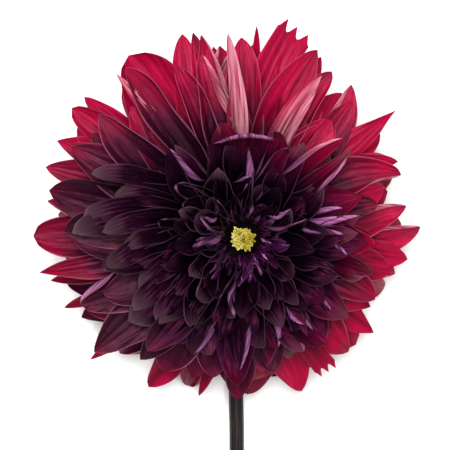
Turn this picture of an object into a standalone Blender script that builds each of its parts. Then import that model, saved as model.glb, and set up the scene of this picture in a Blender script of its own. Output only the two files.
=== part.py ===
"""A fully double dahlia bloom on a cut stem, lying down.

The bloom rests face up on its reflexed back petals, and its neck bends so that the stem runs along the
surface towards -Y. Lengths are in metres. A petal is described in the bloom's own frame, whose origin is
the middle of the eye and whose +Z is the bloom's axis, and is then bent clear of the surface in the world.
"""

import math

import bmesh
import bpy
import numpy as np
from mathutils import Matrix, Vector

MM = 0.001
GAP = 0.3 * MM  # between neighbouring solids

# The bloom's place: the height of its eye, and how far and towards which azimuth its face leans.
EYE_HEIGHT = 46.0 * MM
FACE_LEAN = math.radians(12.0)
FACE_LEAN_AZIMUTH = math.radians(301.0)

# The reach of the rim petals from the eye in mm, seen from above, is longest towards the upper left.
RIM_REACH = 71.0
RIM_REACH_SWING = 10.5
RIM_REACH_AZIMUTH = math.radians(135.0)
REACH_TRIES = 8

GOLDEN_ANGLE = math.pi * (3.0 - math.sqrt(5.0))
PETAL_THICKNESS = 0.8 * MM
ROOT_DEPTH = 2.6 * MM  # how far a petal's root is sunk into the receptacle
BEND_STEPS = 40  # steps along a petal's midline
BEND_POWER = 1.2  # above 1, a petal bends more towards its tip
FLATTEST_CUP = 1e-5  # a flat petal's half-angle across, which keeps its radius finite
TOUCH_HEIGHT = 0.4 * MM  # lower than this over the surface, a petal lies on it
FOOT_SHARE = 0.18  # how much of a foot petal's length lies on the surface
FLARE_HEIGHT = 5.0 * MM  # a petal that comes down this near the surface starts to turn along it

# Receptacle, from the seat of the disc florets down: radii and heights in the bloom's frame.
SEAT_RADIUS = 6.6 * MM
UPPER_RADIUS = 13.0 * MM
UPPER_DEPTH = 3.7 * MM
LOWER_RADIUS = 14.0 * MM
LOWER_DEPTH = 11.0 * MM
SHOULDER_RADIUS = 10.0 * MM
SHOULDER_DEPTH = 1.0 * MM
UPPER_EDGE_DEPTH = 2.4 * MM
UPPER_EDGE_INSET = 0.3 * MM
LOWER_WIDEST_DEPTH = 6.5 * MM
LOWER_WAIST_DEPTH = 9.0 * MM
LOWER_INSET = 0.8 * MM  # how far its top and waist lie inside the lower half's widest ring

# The green cup below it.
CUP_RADIUS = 10.0 * MM
CUP_DEPTH = 15.4 * MM
CUP_RIM_HEIGHT = 1.8 * MM
CUP_RIM_INSET = 0.6 * MM
CUP_FOOT_LEDGE = 1.2 * MM  # how far the cup's foot stands out round the top of the stem

TURNING_STEPS = 24
WELD_DISTANCE = 0.01 * MM

# How many petals there are of each kind, and the seeds of the two kinds that vary at random.
FOOT_PETALS = 7  # as many bracts lie under them
RIM_PETALS = 34
DARK_PETALS = 40
YOUNG_PETALS = 18
RIM_SEED = 7
DARK_SEED = 13

# Cells of a blade across and along, and how closely its rows of points crowd towards the tip.
RIM_CELLS = (2, 5)
DARK_CELLS = (2, 4)
YOUNG_CELLS = (2, 2)
BRACT_CELLS = (2, 4)
TIP_CROWDING = 0.85
SHARPEST_SMOOTH = math.radians(35.0)  # edges that turn by more than this are shaded as creases

# The surface between the dark inner petals and the crimson outer ones: radius and height, in mm.
PARTING_RADII = (0.0, 12.5, 18.0, 26.0, 36.0, 46.0, 56.0, 66.0, 80.0, 100.0)
PARTING_HEIGHTS = (-3.85, -3.85, -1.0, 3.5, 6.5, 6.5, 4.0, -1.0, -10.0, -25.0)
PARTING_CLEARANCE = 0.45 * MM
SPARE_STEP = 0.013 * MM  # more clearance for each next petal, so that no two share a plane

# The long petals in front of the rim: azimuth in degrees, reach from the eye and width in mm.
LONG_PETALS = (
    (24.0, 68.0, 16.0),
    (41.0, 76.0, 12.0),
    (54.0, 73.0, 14.0),
    (63.0, 76.0, 12.0),
    (71.0, 78.0, 19.0),
    (81.0, 85.0, 17.0),
    (94.0, 78.0, 13.0),
    (102.0, 79.0, 13.0),
    (109.0, 82.0, 17.0),
    (124.0, 82.0, 20.0),
    (138.0, 75.0, 18.0),
    (152.0, 79.0, 16.0),
    (167.0, 80.0, 17.0),
    (182.0, 83.0, 20.0),
    (241.0, 69.0, 16.0),
    (290.0, 65.0, 16.0),
    (322.0, 64.0, 17.0),
    (356.0, 68.0, 18.0),
)
LONG_LEVELS = 3  # they lie over each other in this many layers
LONG_ROOT_RADIUS = 13.4  # mm
# Slim stray petals at the rim: azimuth in degrees and reach in mm.
SLIM_PETALS = ((85.0, 82.0), (196.0, 78.0), (204.0, 76.0), (223.0, 77.0), (262.0, 62.0))
SLIM_ROOT = (12.6, -8.0)  # radius and height in mm
SLIM_LEANS = (90.0, 118.0)  # degrees, at root and tip
SLIM_WIDTH = 7.0  # mm

# The stem: its radius, where it leaves the cup, the bend of its neck and the length beyond it.
STEM_RADIUS = 2.9 * MM
STEM_FLARE = 1.5 * MM
STEM_FLARE_LENGTH = 9.0 * MM
NECK_STRAIGHT = 4.0 * MM
NECK_BEND_RADIUS = 19.0 * MM
STEM_RUN = 165.0 * MM
STEM_SPACING = 9.0 * MM
STEM_SHIFT = 2.2 * MM  # the stem swings back under the eye, by this much over the first of its run
STEM_SHIFT_SHARE = 3.0
STEM_GUARD = 7.0 * MM  # half the width of the low ridge that petals make over the stem
STEM_ROUNDING = 2  # points added to each quarter of the stem's section
STEM_EASING = 3  # passes that ease the bends of its middle line

# The disc florets: a dome, whose heights are shares of the disc's, and blunt buds that stand on it.
DISC_RADIUS = 5.4 * MM
DISC_HEIGHT = 3.2 * MM
DISC_FLORETS = 19
DOME_INSET = 0.6 * MM
DOME_TOP = 0.8
DOME_SHOULDER = 0.68
DOME_EDGE = 0.3
BUD_SIDES = 5
BUD_FOOT_RADIUS = 0.7 * MM
BUD_TIP_RADIUS = 0.36 * MM
BUD_LENGTH = 2.4 * MM
BUD_LEAN = 0.5  # radians, at the dome's edge

COLOURS = {
    "stem": (0.028, 0.021, 0.019),
    "involucre": (0.05, 0.09, 0.02),
    "outer_ray_florets": (0.45, 0.004, 0.05),
    "inner_ray_florets": (0.02, 0.004, 0.02),
    "disc_florets": (0.42, 0.34, 0.01),
}
ROUGHNESS = 0.5

face_turn = Matrix.Rotation(
    FACE_LEAN,
    3,
    Vector((-math.sin(FACE_LEAN_AZIMUTH), math.cos(FACE_LEAN_AZIMUTH), 0.0)),
)
FACE_AXES = np.array(face_turn)
EYE = np.array((0.0, 0.0, EYE_HEIGHT))


def to_world(points):
    """Points of the bloom's frame, in the world."""
    return np.asarray(points) @ FACE_AXES.T + EYE


def to_bloom(points):
    """World points, in the bloom's frame."""
    return (np.asarray(points) - EYE) @ FACE_AXES


def blend(place, *stops):
    """The value at a place from 0 to 1, read from evenly spaced stops."""
    return float(np.interp(place, np.linspace(0.0, 1.0, len(stops)), stops))


def stem_path():
    """The stem's middle line, from the cup down through the neck and along the surface."""
    axis = FACE_AXES[:, 2]
    top = EYE - axis * (CUP_DEPTH + GAP)
    down = -axis
    bend_start = top + down * NECK_STRAIGHT
    run_drop = bend_start[2] - NECK_BEND_RADIUS - STEM_RADIUS
    run = np.array((0.0, -math.cos(run_drop / STEM_RUN), -math.sin(run_drop / STEM_RUN)))
    turn_axis = np.cross(down, run)
    turn_axis /= np.linalg.norm(turn_axis)
    turn = math.acos(float(np.dot(down, run)))
    inward = np.cross(turn_axis, down)
    centre = bend_start + inward * NECK_BEND_RADIUS
    points = [top, (top + bend_start) / 2.0]
    bend_steps = math.ceil(turn * NECK_BEND_RADIUS / (STEM_SPACING / 2.0))
    for angle in np.linspace(0.0, turn, bend_steps + 1):
        spoke = Matrix.Rotation(angle, 3, Vector(turn_axis)) @ Vector(-inward * NECK_BEND_RADIUS)
        points.append(centre + np.array(spoke))
    bend_end = points[-1]
    drop = bend_end[2] - STEM_RADIUS
    for place in np.linspace(0.0, 1.0, math.ceil(STEM_RUN / STEM_SPACING) + 1)[1:]:
        point = bend_end + run * STEM_RUN * place
        point[0] += STEM_SHIFT * min(1.0, STEM_SHIFT_SHARE * place)
        point[2] = STEM_RADIUS + drop * (1.0 - place) ** 2
        points.append(point)
    return np.array(points)


STEM_PATH = stem_path()


def floor_under(x, y):
    """The height of what a petal may rest on: the surface, or the stem with its ridge."""
    behind = STEM_PATH[STEM_PATH[:, 1] < -NECK_BEND_RADIUS / 2.0]
    order = np.argsort(behind[:, 1])
    height = np.interp(y, behind[order, 1], behind[order, 2], left=0.0, right=behind[:, 2].max())
    middle = np.interp(y, behind[order, 1], behind[order, 0])
    if y > 0.0:
        return 0.0
    return (height + STEM_RADIUS + 2.0 * GAP) * math.exp(-(((x - middle) / STEM_GUARD) ** 4))


def midline(petal):
    """World points along a petal's middle, its directions there, and how far each lies on a surface."""
    azimuth = petal["azimuth"]
    root = np.array((petal["root_radius"], petal["root_height"]))
    lean = petal["lean_root"]
    root -= ROOT_DEPTH * np.array((math.sin(lean), math.cos(lean)))
    outward = np.array((math.cos(azimuth), math.sin(azimuth), 0.0))
    point = to_world(outward * root[0] + np.array((0.0, 0.0, root[1])))
    length = petal["length"] + ROOT_DEPTH
    step = length / BEND_STEPS
    points, heads, rests = [point], [], []
    for index in range(BEND_STEPS):
        place = (index + 0.5) / BEND_STEPS
        lean = petal["lean_root"] + (petal["lean_tip"] - petal["lean_root"]) * place**BEND_POWER
        turned = azimuth + petal["sweep"] * place**2
        head = FACE_AXES @ np.array(
            (math.sin(lean) * math.cos(turned), math.sin(lean) * math.sin(turned), math.cos(lean))
        )
        floor = floor_under(point[0], point[1]) + petal["clearance"] + PETAL_THICKNESS
        above = point[2] - floor
        rest = 0.0
        if head[2] < 0.0 and above < FLARE_HEIGHT:
            rest = 1.0 - math.sqrt(max(above, 0.0) / FLARE_HEIGHT)
            head[2] *= 1.0 - rest
            head /= np.linalg.norm(head)
        point = point + head * step
        floor = floor_under(point[0], point[1]) + petal["clearance"] + PETAL_THICKNESS
        if point[2] < floor + TOUCH_HEIGHT:
            point[2] = floor
            rest = 1.0
        points.append(point)
        heads.append(head)
        rests.append(rest)
    heads = np.array([heads[0]] + heads)
    rests = np.array([rests[0]] + rests)
    heads[1:-1] = (heads[1:-1] + heads[2:]) / 2.0
    heads /= np.linalg.norm(heads, axis=1)[:, None]
    return np.array(points), heads, rests


def outline(place):
    """A petal's half-width along its length, as a share of the widest: narrow claw, broad blade, point."""
    blade = (place**0.9) * ((1.0 - place) ** 0.75) / 0.327
    return 0.30 * (1.0 - place) + min(1.0, blade) * (0.72 + 0.28 * place) + 0.02


def bend_blade(petal, across, along_place):
    """The face and the back point of a petal at one place across (-1 to 1) and along (0 to 1)."""
    points, heads, rests = petal["line"]
    at = along_place * BEND_STEPS
    low = min(int(at), BEND_STEPS - 1)
    part = at - low
    point = points[low] * (1.0 - part) + points[low + 1] * part
    head = heads[low] * (1.0 - part) + heads[low + 1] * part
    head /= np.linalg.norm(head)
    rest = rests[low] * (1.0 - part) + rests[low + 1] * part
    azimuth = petal["azimuth"] + petal["sweep"] * along_place**2
    side = FACE_AXES @ np.array((math.sin(azimuth), -math.cos(azimuth), 0.0))
    if rest >= 1.0:
        head = np.array((head[0], head[1], 0.0))
        head /= np.linalg.norm(head)
        side = np.array((head[1], -head[0], 0.0))
    side -= head * np.dot(head, side)
    side /= np.linalg.norm(side)
    normal = np.cross(side, head)
    twist = petal["twist"] * min(1.0, along_place / 0.5) * (1.0 - rest)
    side, normal = (
        side * math.cos(twist) + normal * math.sin(twist),
        normal * math.cos(twist) - side * math.sin(twist),
    )
    half_width = petal["half_width"] * outline(along_place)
    cup = blend(along_place, petal["cup_root"], petal["cup"], petal["cup"], petal["cup_tip"]) * (1.0 - rest)
    cup = max(cup, FLATTEST_CUP)
    angle = cup * across
    radius = half_width / cup
    face = point + side * radius * math.sin(angle) + normal * radius * (1.0 - math.cos(angle))
    out = normal * math.cos(angle) - side * math.sin(angle)
    back = face - out * PETAL_THICKNESS
    return face, back


def keep_above_floor(face, back, clearance):
    """Lifts a pair of points until the lower one is on or above what the petal lies on."""
    lift = 0.0
    for point in (face, back):
        lift = max(lift, floor_under(point[0], point[1]) + clearance - point[2])
    up = np.array((0.0, 0.0, lift))
    return face + up, back + up


def keep_apart(face, back, petal):
    """Shifts a pair of points along the bloom's axis to their own side of the parting surface."""
    shift = 0.0
    clearance = PARTING_CLEARANCE + petal["spare"]
    for point in (to_bloom(face), to_bloom(back)):
        radius = math.hypot(point[0], point[1])
        parting = np.interp(radius / MM, PARTING_RADII, PARTING_HEIGHTS) * MM
        if petal["side"] == "inner":
            shift = max(shift, parting + clearance - point[2])
        else:
            shift = min(shift, parting - clearance - point[2])
    move = FACE_AXES[:, 2] * shift
    return face + move, back + move


def flat_blade(cells_across, cells_along):
    """A flat closed slab in (across, along, side), split into triangles alike on both faces."""
    bm = bmesh.new()
    bmesh.ops.create_grid(bm, x_segments=cells_across, y_segments=cells_along, size=1.0)
    bmesh.ops.triangulate(bm, faces=bm.faces[:], quad_method="FIXED")
    made = bmesh.ops.extrude_face_region(bm, geom=bm.faces[:], use_keep_orig=True)
    raised = [item for item in made["geom"] if isinstance(item, bmesh.types.BMVert)]
    for vert in raised:
        vert.co.z = 1.0
    bmesh.ops.triangulate(bm, faces=bm.faces[:], quad_method="FIXED")
    bmesh.ops.recalc_face_normals(bm, faces=bm.faces[:])
    places = np.array([vert.co for vert in bm.verts])
    faces = [[vert.index for vert in face.verts] for face in bm.faces]
    bm.free()
    return places, faces


def add_blade(name, petal, slab, collection):
    """One petal as an object: the flat slab with each of its points carried to its place."""
    places, faces = slab
    petal["line"] = midline(petal)
    points = []
    for across, along, side in places:
        along_place = ((along + 1.0) / 2.0) ** TIP_CROWDING
        face, back = bend_blade(petal, across, along_place)
        if petal["side"]:
            face, back = keep_apart(face, back, petal)
        face, back = keep_above_floor(face, back, petal["clearance"])
        points.append(face if side > 0.5 else back)
    mesh = bpy.data.meshes.new(name)
    mesh.from_pydata([tuple(point) for point in points], [], faces)
    blade = bpy.data.objects.new(name, mesh)
    collection.objects.link(blade)
    return blade


def reach_at(azimuth):
    """How far the rim petals reach from the eye at an azimuth."""
    return RIM_REACH + RIM_REACH_SWING * math.cos(azimuth - RIM_REACH_AZIMUTH)


def length_to_reach(azimuth, reach, root_radius, root_height, lean_root, lean_tip):
    """The length in mm that brings a petal's tip as far from the eye as reach, seen from above."""
    places = (np.arange(BEND_STEPS) + 0.5) / BEND_STEPS
    leans = np.radians(lean_root + (lean_tip - lean_root) * places**BEND_POWER)
    outward, upward = float(np.mean(np.sin(leans))), float(np.mean(np.cos(leans)))
    length = reach - root_radius
    for _ in range(REACH_TRIES):
        radius = root_radius + length * outward
        tip = FACE_AXES @ np.array(
            (radius * math.cos(azimuth), radius * math.sin(azimuth), root_height + length * upward)
        )
        length += reach - math.hypot(tip[0], tip[1])
    return length


def petal_of(azimuth, root_radius, root_height, lean_root, lean_tip, length, width, **more):
    """A petal's description; the leans are in degrees from the bloom's axis, the sizes in mm."""
    petal = {
        "azimuth": azimuth,
        "root_radius": root_radius * MM,
        "root_height": root_height * MM,
        "lean_root": math.radians(lean_root),
        "lean_tip": math.radians(lean_tip),
        "length": length * MM,
        "half_width": width * MM / 2.0,
        "cup_root": 0.5,
        "cup": 0.45,
        "cup_tip": 0.3,
        "twist": 0.0,
        "sweep": 0.0,
        "clearance": 0.8 * MM,
        "side": None,
        "spare": 0.0,
    }
    petal.update(more)
    return petal


def foot_petals():
    """The back petals that the bloom rests on, spread evenly with the stem between two."""
    petals = []
    for index in range(FOOT_PETALS):
        azimuth = math.radians(270.0) + math.tau * (index + 0.5) / FOOT_PETALS
        more = -math.degrees(FACE_LEAN) * math.cos(azimuth - FACE_LEAN_AZIMUTH)
        petal = petal_of(
            azimuth,
            root_radius=11.0,
            root_height=-9.8,
            lean_root=130.0 + more,
            lean_tip=154.0 + more,
            length=45.0,
            width=17.0,
            clearance=0.0,
            side="outer",
        )
        while np.mean(midline(petal)[2] >= 1.0) < FOOT_SHARE:
            petal["length"] += MM
        petals.append(petal)
    return petals


def rim_petals(draw):
    """The crimson petals of the rim and of the rows behind it, in a spiral."""
    petals = []
    for index in range(RIM_PETALS):
        place = index / (RIM_PETALS - 1)
        azimuth = index * GOLDEN_ANGLE + 0.08 * draw.standard_normal()
        reach = blend(place, 0.80, 0.93, 1.0, 0.99) * reach_at(azimuth) + 1.8 * draw.standard_normal()
        root_radius = blend(place, 13.2, 13.6, 12.8, 12.0)
        root_height = blend(place, -5.2, -6.4, -7.8, -9.2)
        lean_root = blend(place, 66.0, 76.0, 88.0, 98.0)
        lean_tip = blend(place, 98.0, 110.0, 122.0, 136.0) + 4.0 * draw.standard_normal()
        length = length_to_reach(azimuth, reach, root_radius, root_height, lean_root, lean_tip)
        width = blend(place, 17.0, 19.5, 20.0, 18.0)
        twist = 0.16 * draw.standard_normal()
        sweep = 0.1 * draw.standard_normal()
        petals.append(
            petal_of(
                azimuth,
                root_radius,
                root_height,
                lean_root,
                lean_tip,
                length,
                width,
                twist=twist,
                sweep=sweep,
                side="outer",
            )
        )
    return petals


def show_petals():
    """The long crimson petals that stand in front of the rim at the upper side, and the slim stray ones."""
    petals = []
    for index, (azimuth, reach, width) in enumerate(LONG_PETALS):
        level = index % LONG_LEVELS
        azimuth = math.radians(azimuth)
        root_height = -5.0 - 0.6 * level
        lean_root = 68.0 + 5.0 * level
        lean_tip = 98.0 + 6.0 * level
        placing = (LONG_ROOT_RADIUS, root_height, lean_root, lean_tip)
        length = length_to_reach(azimuth, reach, *placing)
        petals.append(petal_of(azimuth, *placing, length, width, cup=0.55, side="outer"))
    for azimuth, reach in SLIM_PETALS:
        azimuth = math.radians(azimuth)
        length = length_to_reach(azimuth, reach, *SLIM_ROOT, *SLIM_LEANS)
        petals.append(
            petal_of(azimuth, *SLIM_ROOT, *SLIM_LEANS, length, SLIM_WIDTH, cup=0.8, side="outer")
        )
    return petals


def dark_petals(draw):
    """The dark cupped petals between the eye and the crimson ones, in the same kind of spiral."""
    petals = []
    for index in range(DARK_PETALS):
        place = index / (DARK_PETALS - 1)
        azimuth = 0.8 + index * GOLDEN_ANGLE + 0.07 * draw.standard_normal()
        shorter = 1.0 - 0.10 * math.cos(azimuth - RIM_REACH_AZIMUTH)
        petals.append(
            petal_of(
                azimuth,
                root_radius=blend(place, 8.4, 10.4, 11.8, 12.2),
                root_height=blend(place, -0.3, -1.2, -2.0, -2.5),
                lean_root=blend(place, 24.0, 38.0, 50.0, 60.0),
                lean_tip=blend(place, 48.0, 62.0, 78.0, 94.0) + 5.0 * draw.standard_normal(),
                length=blend(place, 19.0, 26.0, 33.0, 40.0) * shorter * (1.0 + 0.05 * draw.standard_normal()),
                width=blend(place, 8.0, 10.5, 12.5, 14.5),
                cup_root=0.7,
                cup=blend(place, 1.3, 1.0, 0.8, 0.6),
                cup_tip=blend(place, 0.9, 0.7, 0.5, 0.4),
                twist=0.2 * draw.standard_normal(),
                sweep=0.15 * draw.standard_normal(),
                side="inner",
            )
        )
    return petals


def young_petals(draw):
    """The small curled petals round the eye."""
    petals = []
    for index in range(YOUNG_PETALS):
        place = index / (YOUNG_PETALS - 1)
        azimuth = 0.3 + index * GOLDEN_ANGLE
        petals.append(
            petal_of(
                azimuth,
                root_radius=blend(place, 7.0, 8.0),
                root_height=-0.2,
                lean_root=blend(place, 16.0, 24.0),
                lean_tip=blend(place, 42.0, 66.0) + 8.0 * draw.standard_normal(),
                length=blend(place, 7.0, 13.0),
                width=blend(place, 3.4, 5.0),
                cup_root=0.9,
                cup=1.1,
                cup_tip=0.7,
                side="inner",
            )
        )
    return petals


def bracts():
    """The leafy green bracts, turned back from the cup."""
    petals = []
    for index in range(FOOT_PETALS):
        petals.append(
            petal_of(
                math.radians(270.0) + math.tau * (index + 0.5) / FOOT_PETALS,
                root_radius=8.6,
                root_height=-13.4,
                lean_root=118.0,
                lean_tip=158.0,
                length=16.0,
                width=7.0,
                clearance=6.0 * MM,
            )
        )
    return petals


def turned(name, profile, collection):
    """A solid of revolution about the bloom's axis from (radius, height) points, top to bottom."""
    mesh = bpy.data.meshes.new(name)
    points = [(radius, 0.0, height) for radius, height in profile]
    edges = [(index, index + 1) for index in range(len(points) - 1)]
    mesh.from_pydata(points, edges, [])
    solid = bpy.data.objects.new(name, mesh)
    collection.objects.link(solid)
    screw = solid.modifiers.new("turn", "SCREW")
    screw.steps = TURNING_STEPS
    screw.render_steps = TURNING_STEPS
    screw.use_merge_vertices = True
    screw.merge_threshold = WELD_DISTANCE
    solid.matrix_world = Matrix.Translation(Vector(EYE)) @ face_turn.to_4x4()
    return solid


def keep_outer_skin(mesh):
    """Drops the skins of the hollows that fusing has sealed, and loose scraps: the largest skin stays."""
    bm = bmesh.new()
    bm.from_mesh(mesh)
    unseen = set(bm.faces)
    skins = []
    while unseen:
        skin = []
        front = [unseen.pop()]
        while front:
            face = front.pop()
            skin.append(face)
            for edge in face.edges:
                for other in edge.link_faces:
                    if other in unseen:
                        unseen.remove(other)
                        front.append(other)
        skins.append(skin)
    skins.sort(key=len)
    for skin in skins[:-1]:
        bmesh.ops.delete(bm, geom=skin, context="FACES")
    bmesh.ops.triangulate(bm, faces=bm.faces[:])
    bm.to_mesh(mesh)
    bm.free()


def fuse(body, blades):
    """Joins a body with a collection of blades by one union, and removes the blades.

    The manifold solver is used because the exact one left open edges where many thin blades cross.
    """
    union = body.modifiers.new("fuse", "BOOLEAN")
    union.operation = "UNION"
    union.operand_type = "COLLECTION"
    union.collection = blades
    union.solver = "MANIFOLD"
    bpy.context.view_layer.update()
    shape = bpy.data.meshes.new_from_object(body.evaluated_get(bpy.context.evaluated_depsgraph_get()))
    keep_outer_skin(shape)
    shape.shade_smooth()
    shape.set_sharp_from_angle(angle=SHARPEST_SMOOTH)
    body.modifiers.clear()
    body.data = shape
    for blade in list(blades.objects):
        bpy.data.objects.remove(blade)
    bpy.data.collections.remove(blades)


def blade_collection(name):
    """A collection for the loose blades of one node, before they are fused."""
    collection = bpy.data.collections.new(name)
    bpy.context.scene.collection.children.link(collection)
    return collection


def make_outer_ray_florets(part):
    """The crimson petals on the lower half of the receptacle."""
    profile = (
        (0.0, -UPPER_DEPTH - GAP),
        (LOWER_RADIUS - LOWER_INSET, -UPPER_DEPTH - GAP),
        (LOWER_RADIUS, -LOWER_WIDEST_DEPTH),
        (LOWER_RADIUS - LOWER_INSET, -LOWER_WAIST_DEPTH),
        (CUP_RADIUS, -LOWER_DEPTH),
        (0.0, -LOWER_DEPTH),
    )
    body = turned("outer_ray_florets", profile, part)
    blades = blade_collection("outer_blades")
    draw = np.random.default_rng(RIM_SEED)
    slab = flat_blade(*RIM_CELLS)
    for index, petal in enumerate(foot_petals() + rim_petals(draw) + show_petals()):
        petal["spare"] = SPARE_STEP * index
        add_blade(f"outer_{index}", petal, slab, blades)
    fuse(body, blades)
    return body


def make_inner_ray_florets(part):
    """The dark petals and the young curled ones on the upper half of the receptacle."""
    profile = (
        (0.0, 0.0),
        (SEAT_RADIUS, 0.0),
        (SHOULDER_RADIUS, -SHOULDER_DEPTH),
        (UPPER_RADIUS - UPPER_EDGE_INSET, -UPPER_EDGE_DEPTH),
        (UPPER_RADIUS, -UPPER_DEPTH),
        (0.0, -UPPER_DEPTH),
    )
    body = turned("inner_ray_florets", profile, part)
    blades = blade_collection("inner_blades")
    draw = np.random.default_rng(DARK_SEED)
    slab = flat_blade(*DARK_CELLS)
    small_slab = flat_blade(*YOUNG_CELLS)
    for index, petal in enumerate(dark_petals(draw)):
        petal["spare"] = SPARE_STEP * index
        add_blade(f"dark_{index}", petal, slab, blades)
    for index, petal in enumerate(young_petals(draw)):
        add_blade(f"young_{index}", petal, small_slab, blades)
    fuse(body, blades)
    return body


def make_involucre(part):
    """The green cup behind the petals, with its bracts turned back."""
    profile = (
        (0.0, -LOWER_DEPTH - GAP),
        (CUP_RADIUS, -LOWER_DEPTH - GAP),
        (CUP_RADIUS - CUP_RIM_INSET, -LOWER_DEPTH - CUP_RIM_HEIGHT),
        (STEM_RADIUS + STEM_FLARE + CUP_FOOT_LEDGE, -CUP_DEPTH),
        (0.0, -CUP_DEPTH),
    )
    body = turned("involucre", profile, part)
    blades = blade_collection("bract_blades")
    slab = flat_blade(*BRACT_CELLS)
    for index, petal in enumerate(bracts()):
        add_blade(f"bract_{index}", petal, slab, blades)
    fuse(body, blades)
    return body


def disc_bud(index, share, radius):
    """One blunt bud of the disc, as an object that stands on the dome and leans outward with it."""
    azimuth = index * GOLDEN_ANGLE
    height = GAP + DISC_HEIGHT * (0.9 - 0.5 * share * share)
    bm = bmesh.new()
    bmesh.ops.create_cone(
        bm,
        cap_ends=True,
        segments=BUD_SIDES,
        radius1=BUD_FOOT_RADIUS,
        radius2=BUD_TIP_RADIUS,
        depth=BUD_LENGTH,
    )
    lean = Matrix.Rotation(BUD_LEAN * share, 4, Vector((-math.sin(azimuth), math.cos(azimuth), 0.0)))
    place = Matrix.Translation((radius * math.cos(azimuth), radius * math.sin(azimuth), height))
    bmesh.ops.transform(bm, matrix=place @ lean, verts=bm.verts)
    mesh = bpy.data.meshes.new(f"bud_{index}")
    bm.to_mesh(mesh)
    bm.free()
    bud = bpy.data.objects.new(f"bud_{index}", mesh)
    bud.matrix_world = Matrix.Translation(Vector(EYE)) @ face_turn.to_4x4()
    return bud


def make_disc_florets(part):
    """The yellow-green button: a low dome with a spiral of small blunt florets."""
    rim = DISC_RADIUS - DOME_INSET
    profile = (
        (0.0, GAP + DISC_HEIGHT * DOME_TOP),
        (rim * 0.5, GAP + DISC_HEIGHT * DOME_SHOULDER),
        (rim, GAP + DISC_HEIGHT * DOME_EDGE),
        (rim, GAP),
        (0.0, GAP),
    )
    body = turned("disc_florets", profile, part)
    buds = blade_collection("disc_buds")
    for index in range(DISC_FLORETS):
        share = math.sqrt((index + 0.5) / DISC_FLORETS)
        buds.objects.link(disc_bud(index, share, share * (rim - GAP)))
    fuse(body, buds)
    return body


def make_stem(part):
    """The stalk: a tube along its path with the bends eased, wider where it meets the cup."""
    path = STEM_PATH.copy()
    for _ in range(STEM_EASING):
        path[1:-1] = (path[:-2] + 2.0 * path[1:-1] + path[2:]) / 4.0
    curve = bpy.data.curves.new("stem", "CURVE")
    curve.dimensions = "3D"
    curve.bevel_depth = STEM_RADIUS
    curve.bevel_resolution = STEM_ROUNDING
    curve.use_fill_caps = True
    spline = curve.splines.new("POLY")
    spline.points.add(len(path) - 1)
    gone = 0.0
    for index, point in enumerate(path):
        if index:
            gone += float(np.linalg.norm(point - path[index - 1]))
        flare = STEM_FLARE * max(0.0, 1.0 - gone / STEM_FLARE_LENGTH) ** 2
        spline.points[index].co = (*point, 1.0)
        spline.points[index].radius = 1.0 + flare / STEM_RADIUS
    stem = bpy.data.objects.new("stem", curve)
    part.objects.link(stem)
    return stem


def give_material(solid):
    """A plain material in the colour of the piece."""
    material = bpy.data.materials.new(solid.name)
    material.use_nodes = True
    shader = material.node_tree.nodes["Principled BSDF"]
    shader.inputs["Base Color"].default_value = (*COLOURS[solid.name], 1.0)
    shader.inputs["Roughness"].default_value = ROUGHNESS
    solid.data.materials.clear()
    solid.data.materials.append(material)


def centre_on_origin(solids):
    """Moves the part so that the middle of its box's underside is the world's origin."""
    graph = bpy.context.evaluated_depsgraph_get()
    corners = []
    for solid in solids:
        shape = solid.evaluated_get(graph).to_mesh()
        corners.extend(solid.matrix_world @ vert.co for vert in shape.vertices)
    corners = np.array(corners)
    middle = (corners.min(axis=0) + corners.max(axis=0)) / 2.0
    for solid in solids:
        solid.location -= Vector((middle[0], middle[1], corners[:, 2].min()))


def main():
    for old in list(bpy.data.objects):
        bpy.data.objects.remove(old)
    part = bpy.data.collections.new("dahlia_bloom")
    bpy.context.scene.collection.children.link(part)
    makers = (
        make_stem,
        make_involucre,
        make_outer_ray_florets,
        make_inner_ray_florets,
        make_disc_florets,
    )
    solids = [make(part) for make in makers]
    for solid in solids:
        give_material(solid)
    bpy.context.view_layer.update()
    centre_on_origin(solids)


main()
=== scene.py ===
"""The looks of a cut dahlia bloom that lies face up on its back petals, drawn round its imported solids.

Every petal is a thin closed blade that is bent along its middle line, cupped and rolled across, and carries
its own measures as attributes, from which the materials take their colours. Lengths are in metres, and those
of the petals' descriptions in mm. Petals are laid out with the eye over the origin and then moved to it.
"""

import math

import bpy
import numpy as np
from mathutils import Matrix, Vector


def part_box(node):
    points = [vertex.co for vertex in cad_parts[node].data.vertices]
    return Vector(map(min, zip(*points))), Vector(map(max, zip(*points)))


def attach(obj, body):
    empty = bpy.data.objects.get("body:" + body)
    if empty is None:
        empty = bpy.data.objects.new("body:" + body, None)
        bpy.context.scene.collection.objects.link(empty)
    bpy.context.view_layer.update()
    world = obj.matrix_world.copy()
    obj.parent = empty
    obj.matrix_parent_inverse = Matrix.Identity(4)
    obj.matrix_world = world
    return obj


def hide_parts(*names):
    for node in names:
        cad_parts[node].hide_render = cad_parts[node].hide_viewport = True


bl_info = {
    "name": "Dahlia Bloom Maker",
    "version": (1, 0, 0),
    "blender": (4, 5, 0),
    "location": "3D View > Sidebar > Dahlia",
    "description": "Draws the petals, eye, cup and stem of a cut dahlia bloom round its solids",
    "category": "Add Mesh",
}

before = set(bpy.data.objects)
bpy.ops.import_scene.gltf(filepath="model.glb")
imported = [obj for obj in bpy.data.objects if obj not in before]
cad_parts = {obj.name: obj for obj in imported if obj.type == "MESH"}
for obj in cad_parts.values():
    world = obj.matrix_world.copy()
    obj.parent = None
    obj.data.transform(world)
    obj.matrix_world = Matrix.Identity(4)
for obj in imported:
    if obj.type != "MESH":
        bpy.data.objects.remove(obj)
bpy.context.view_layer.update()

MM = 0.001

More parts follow.
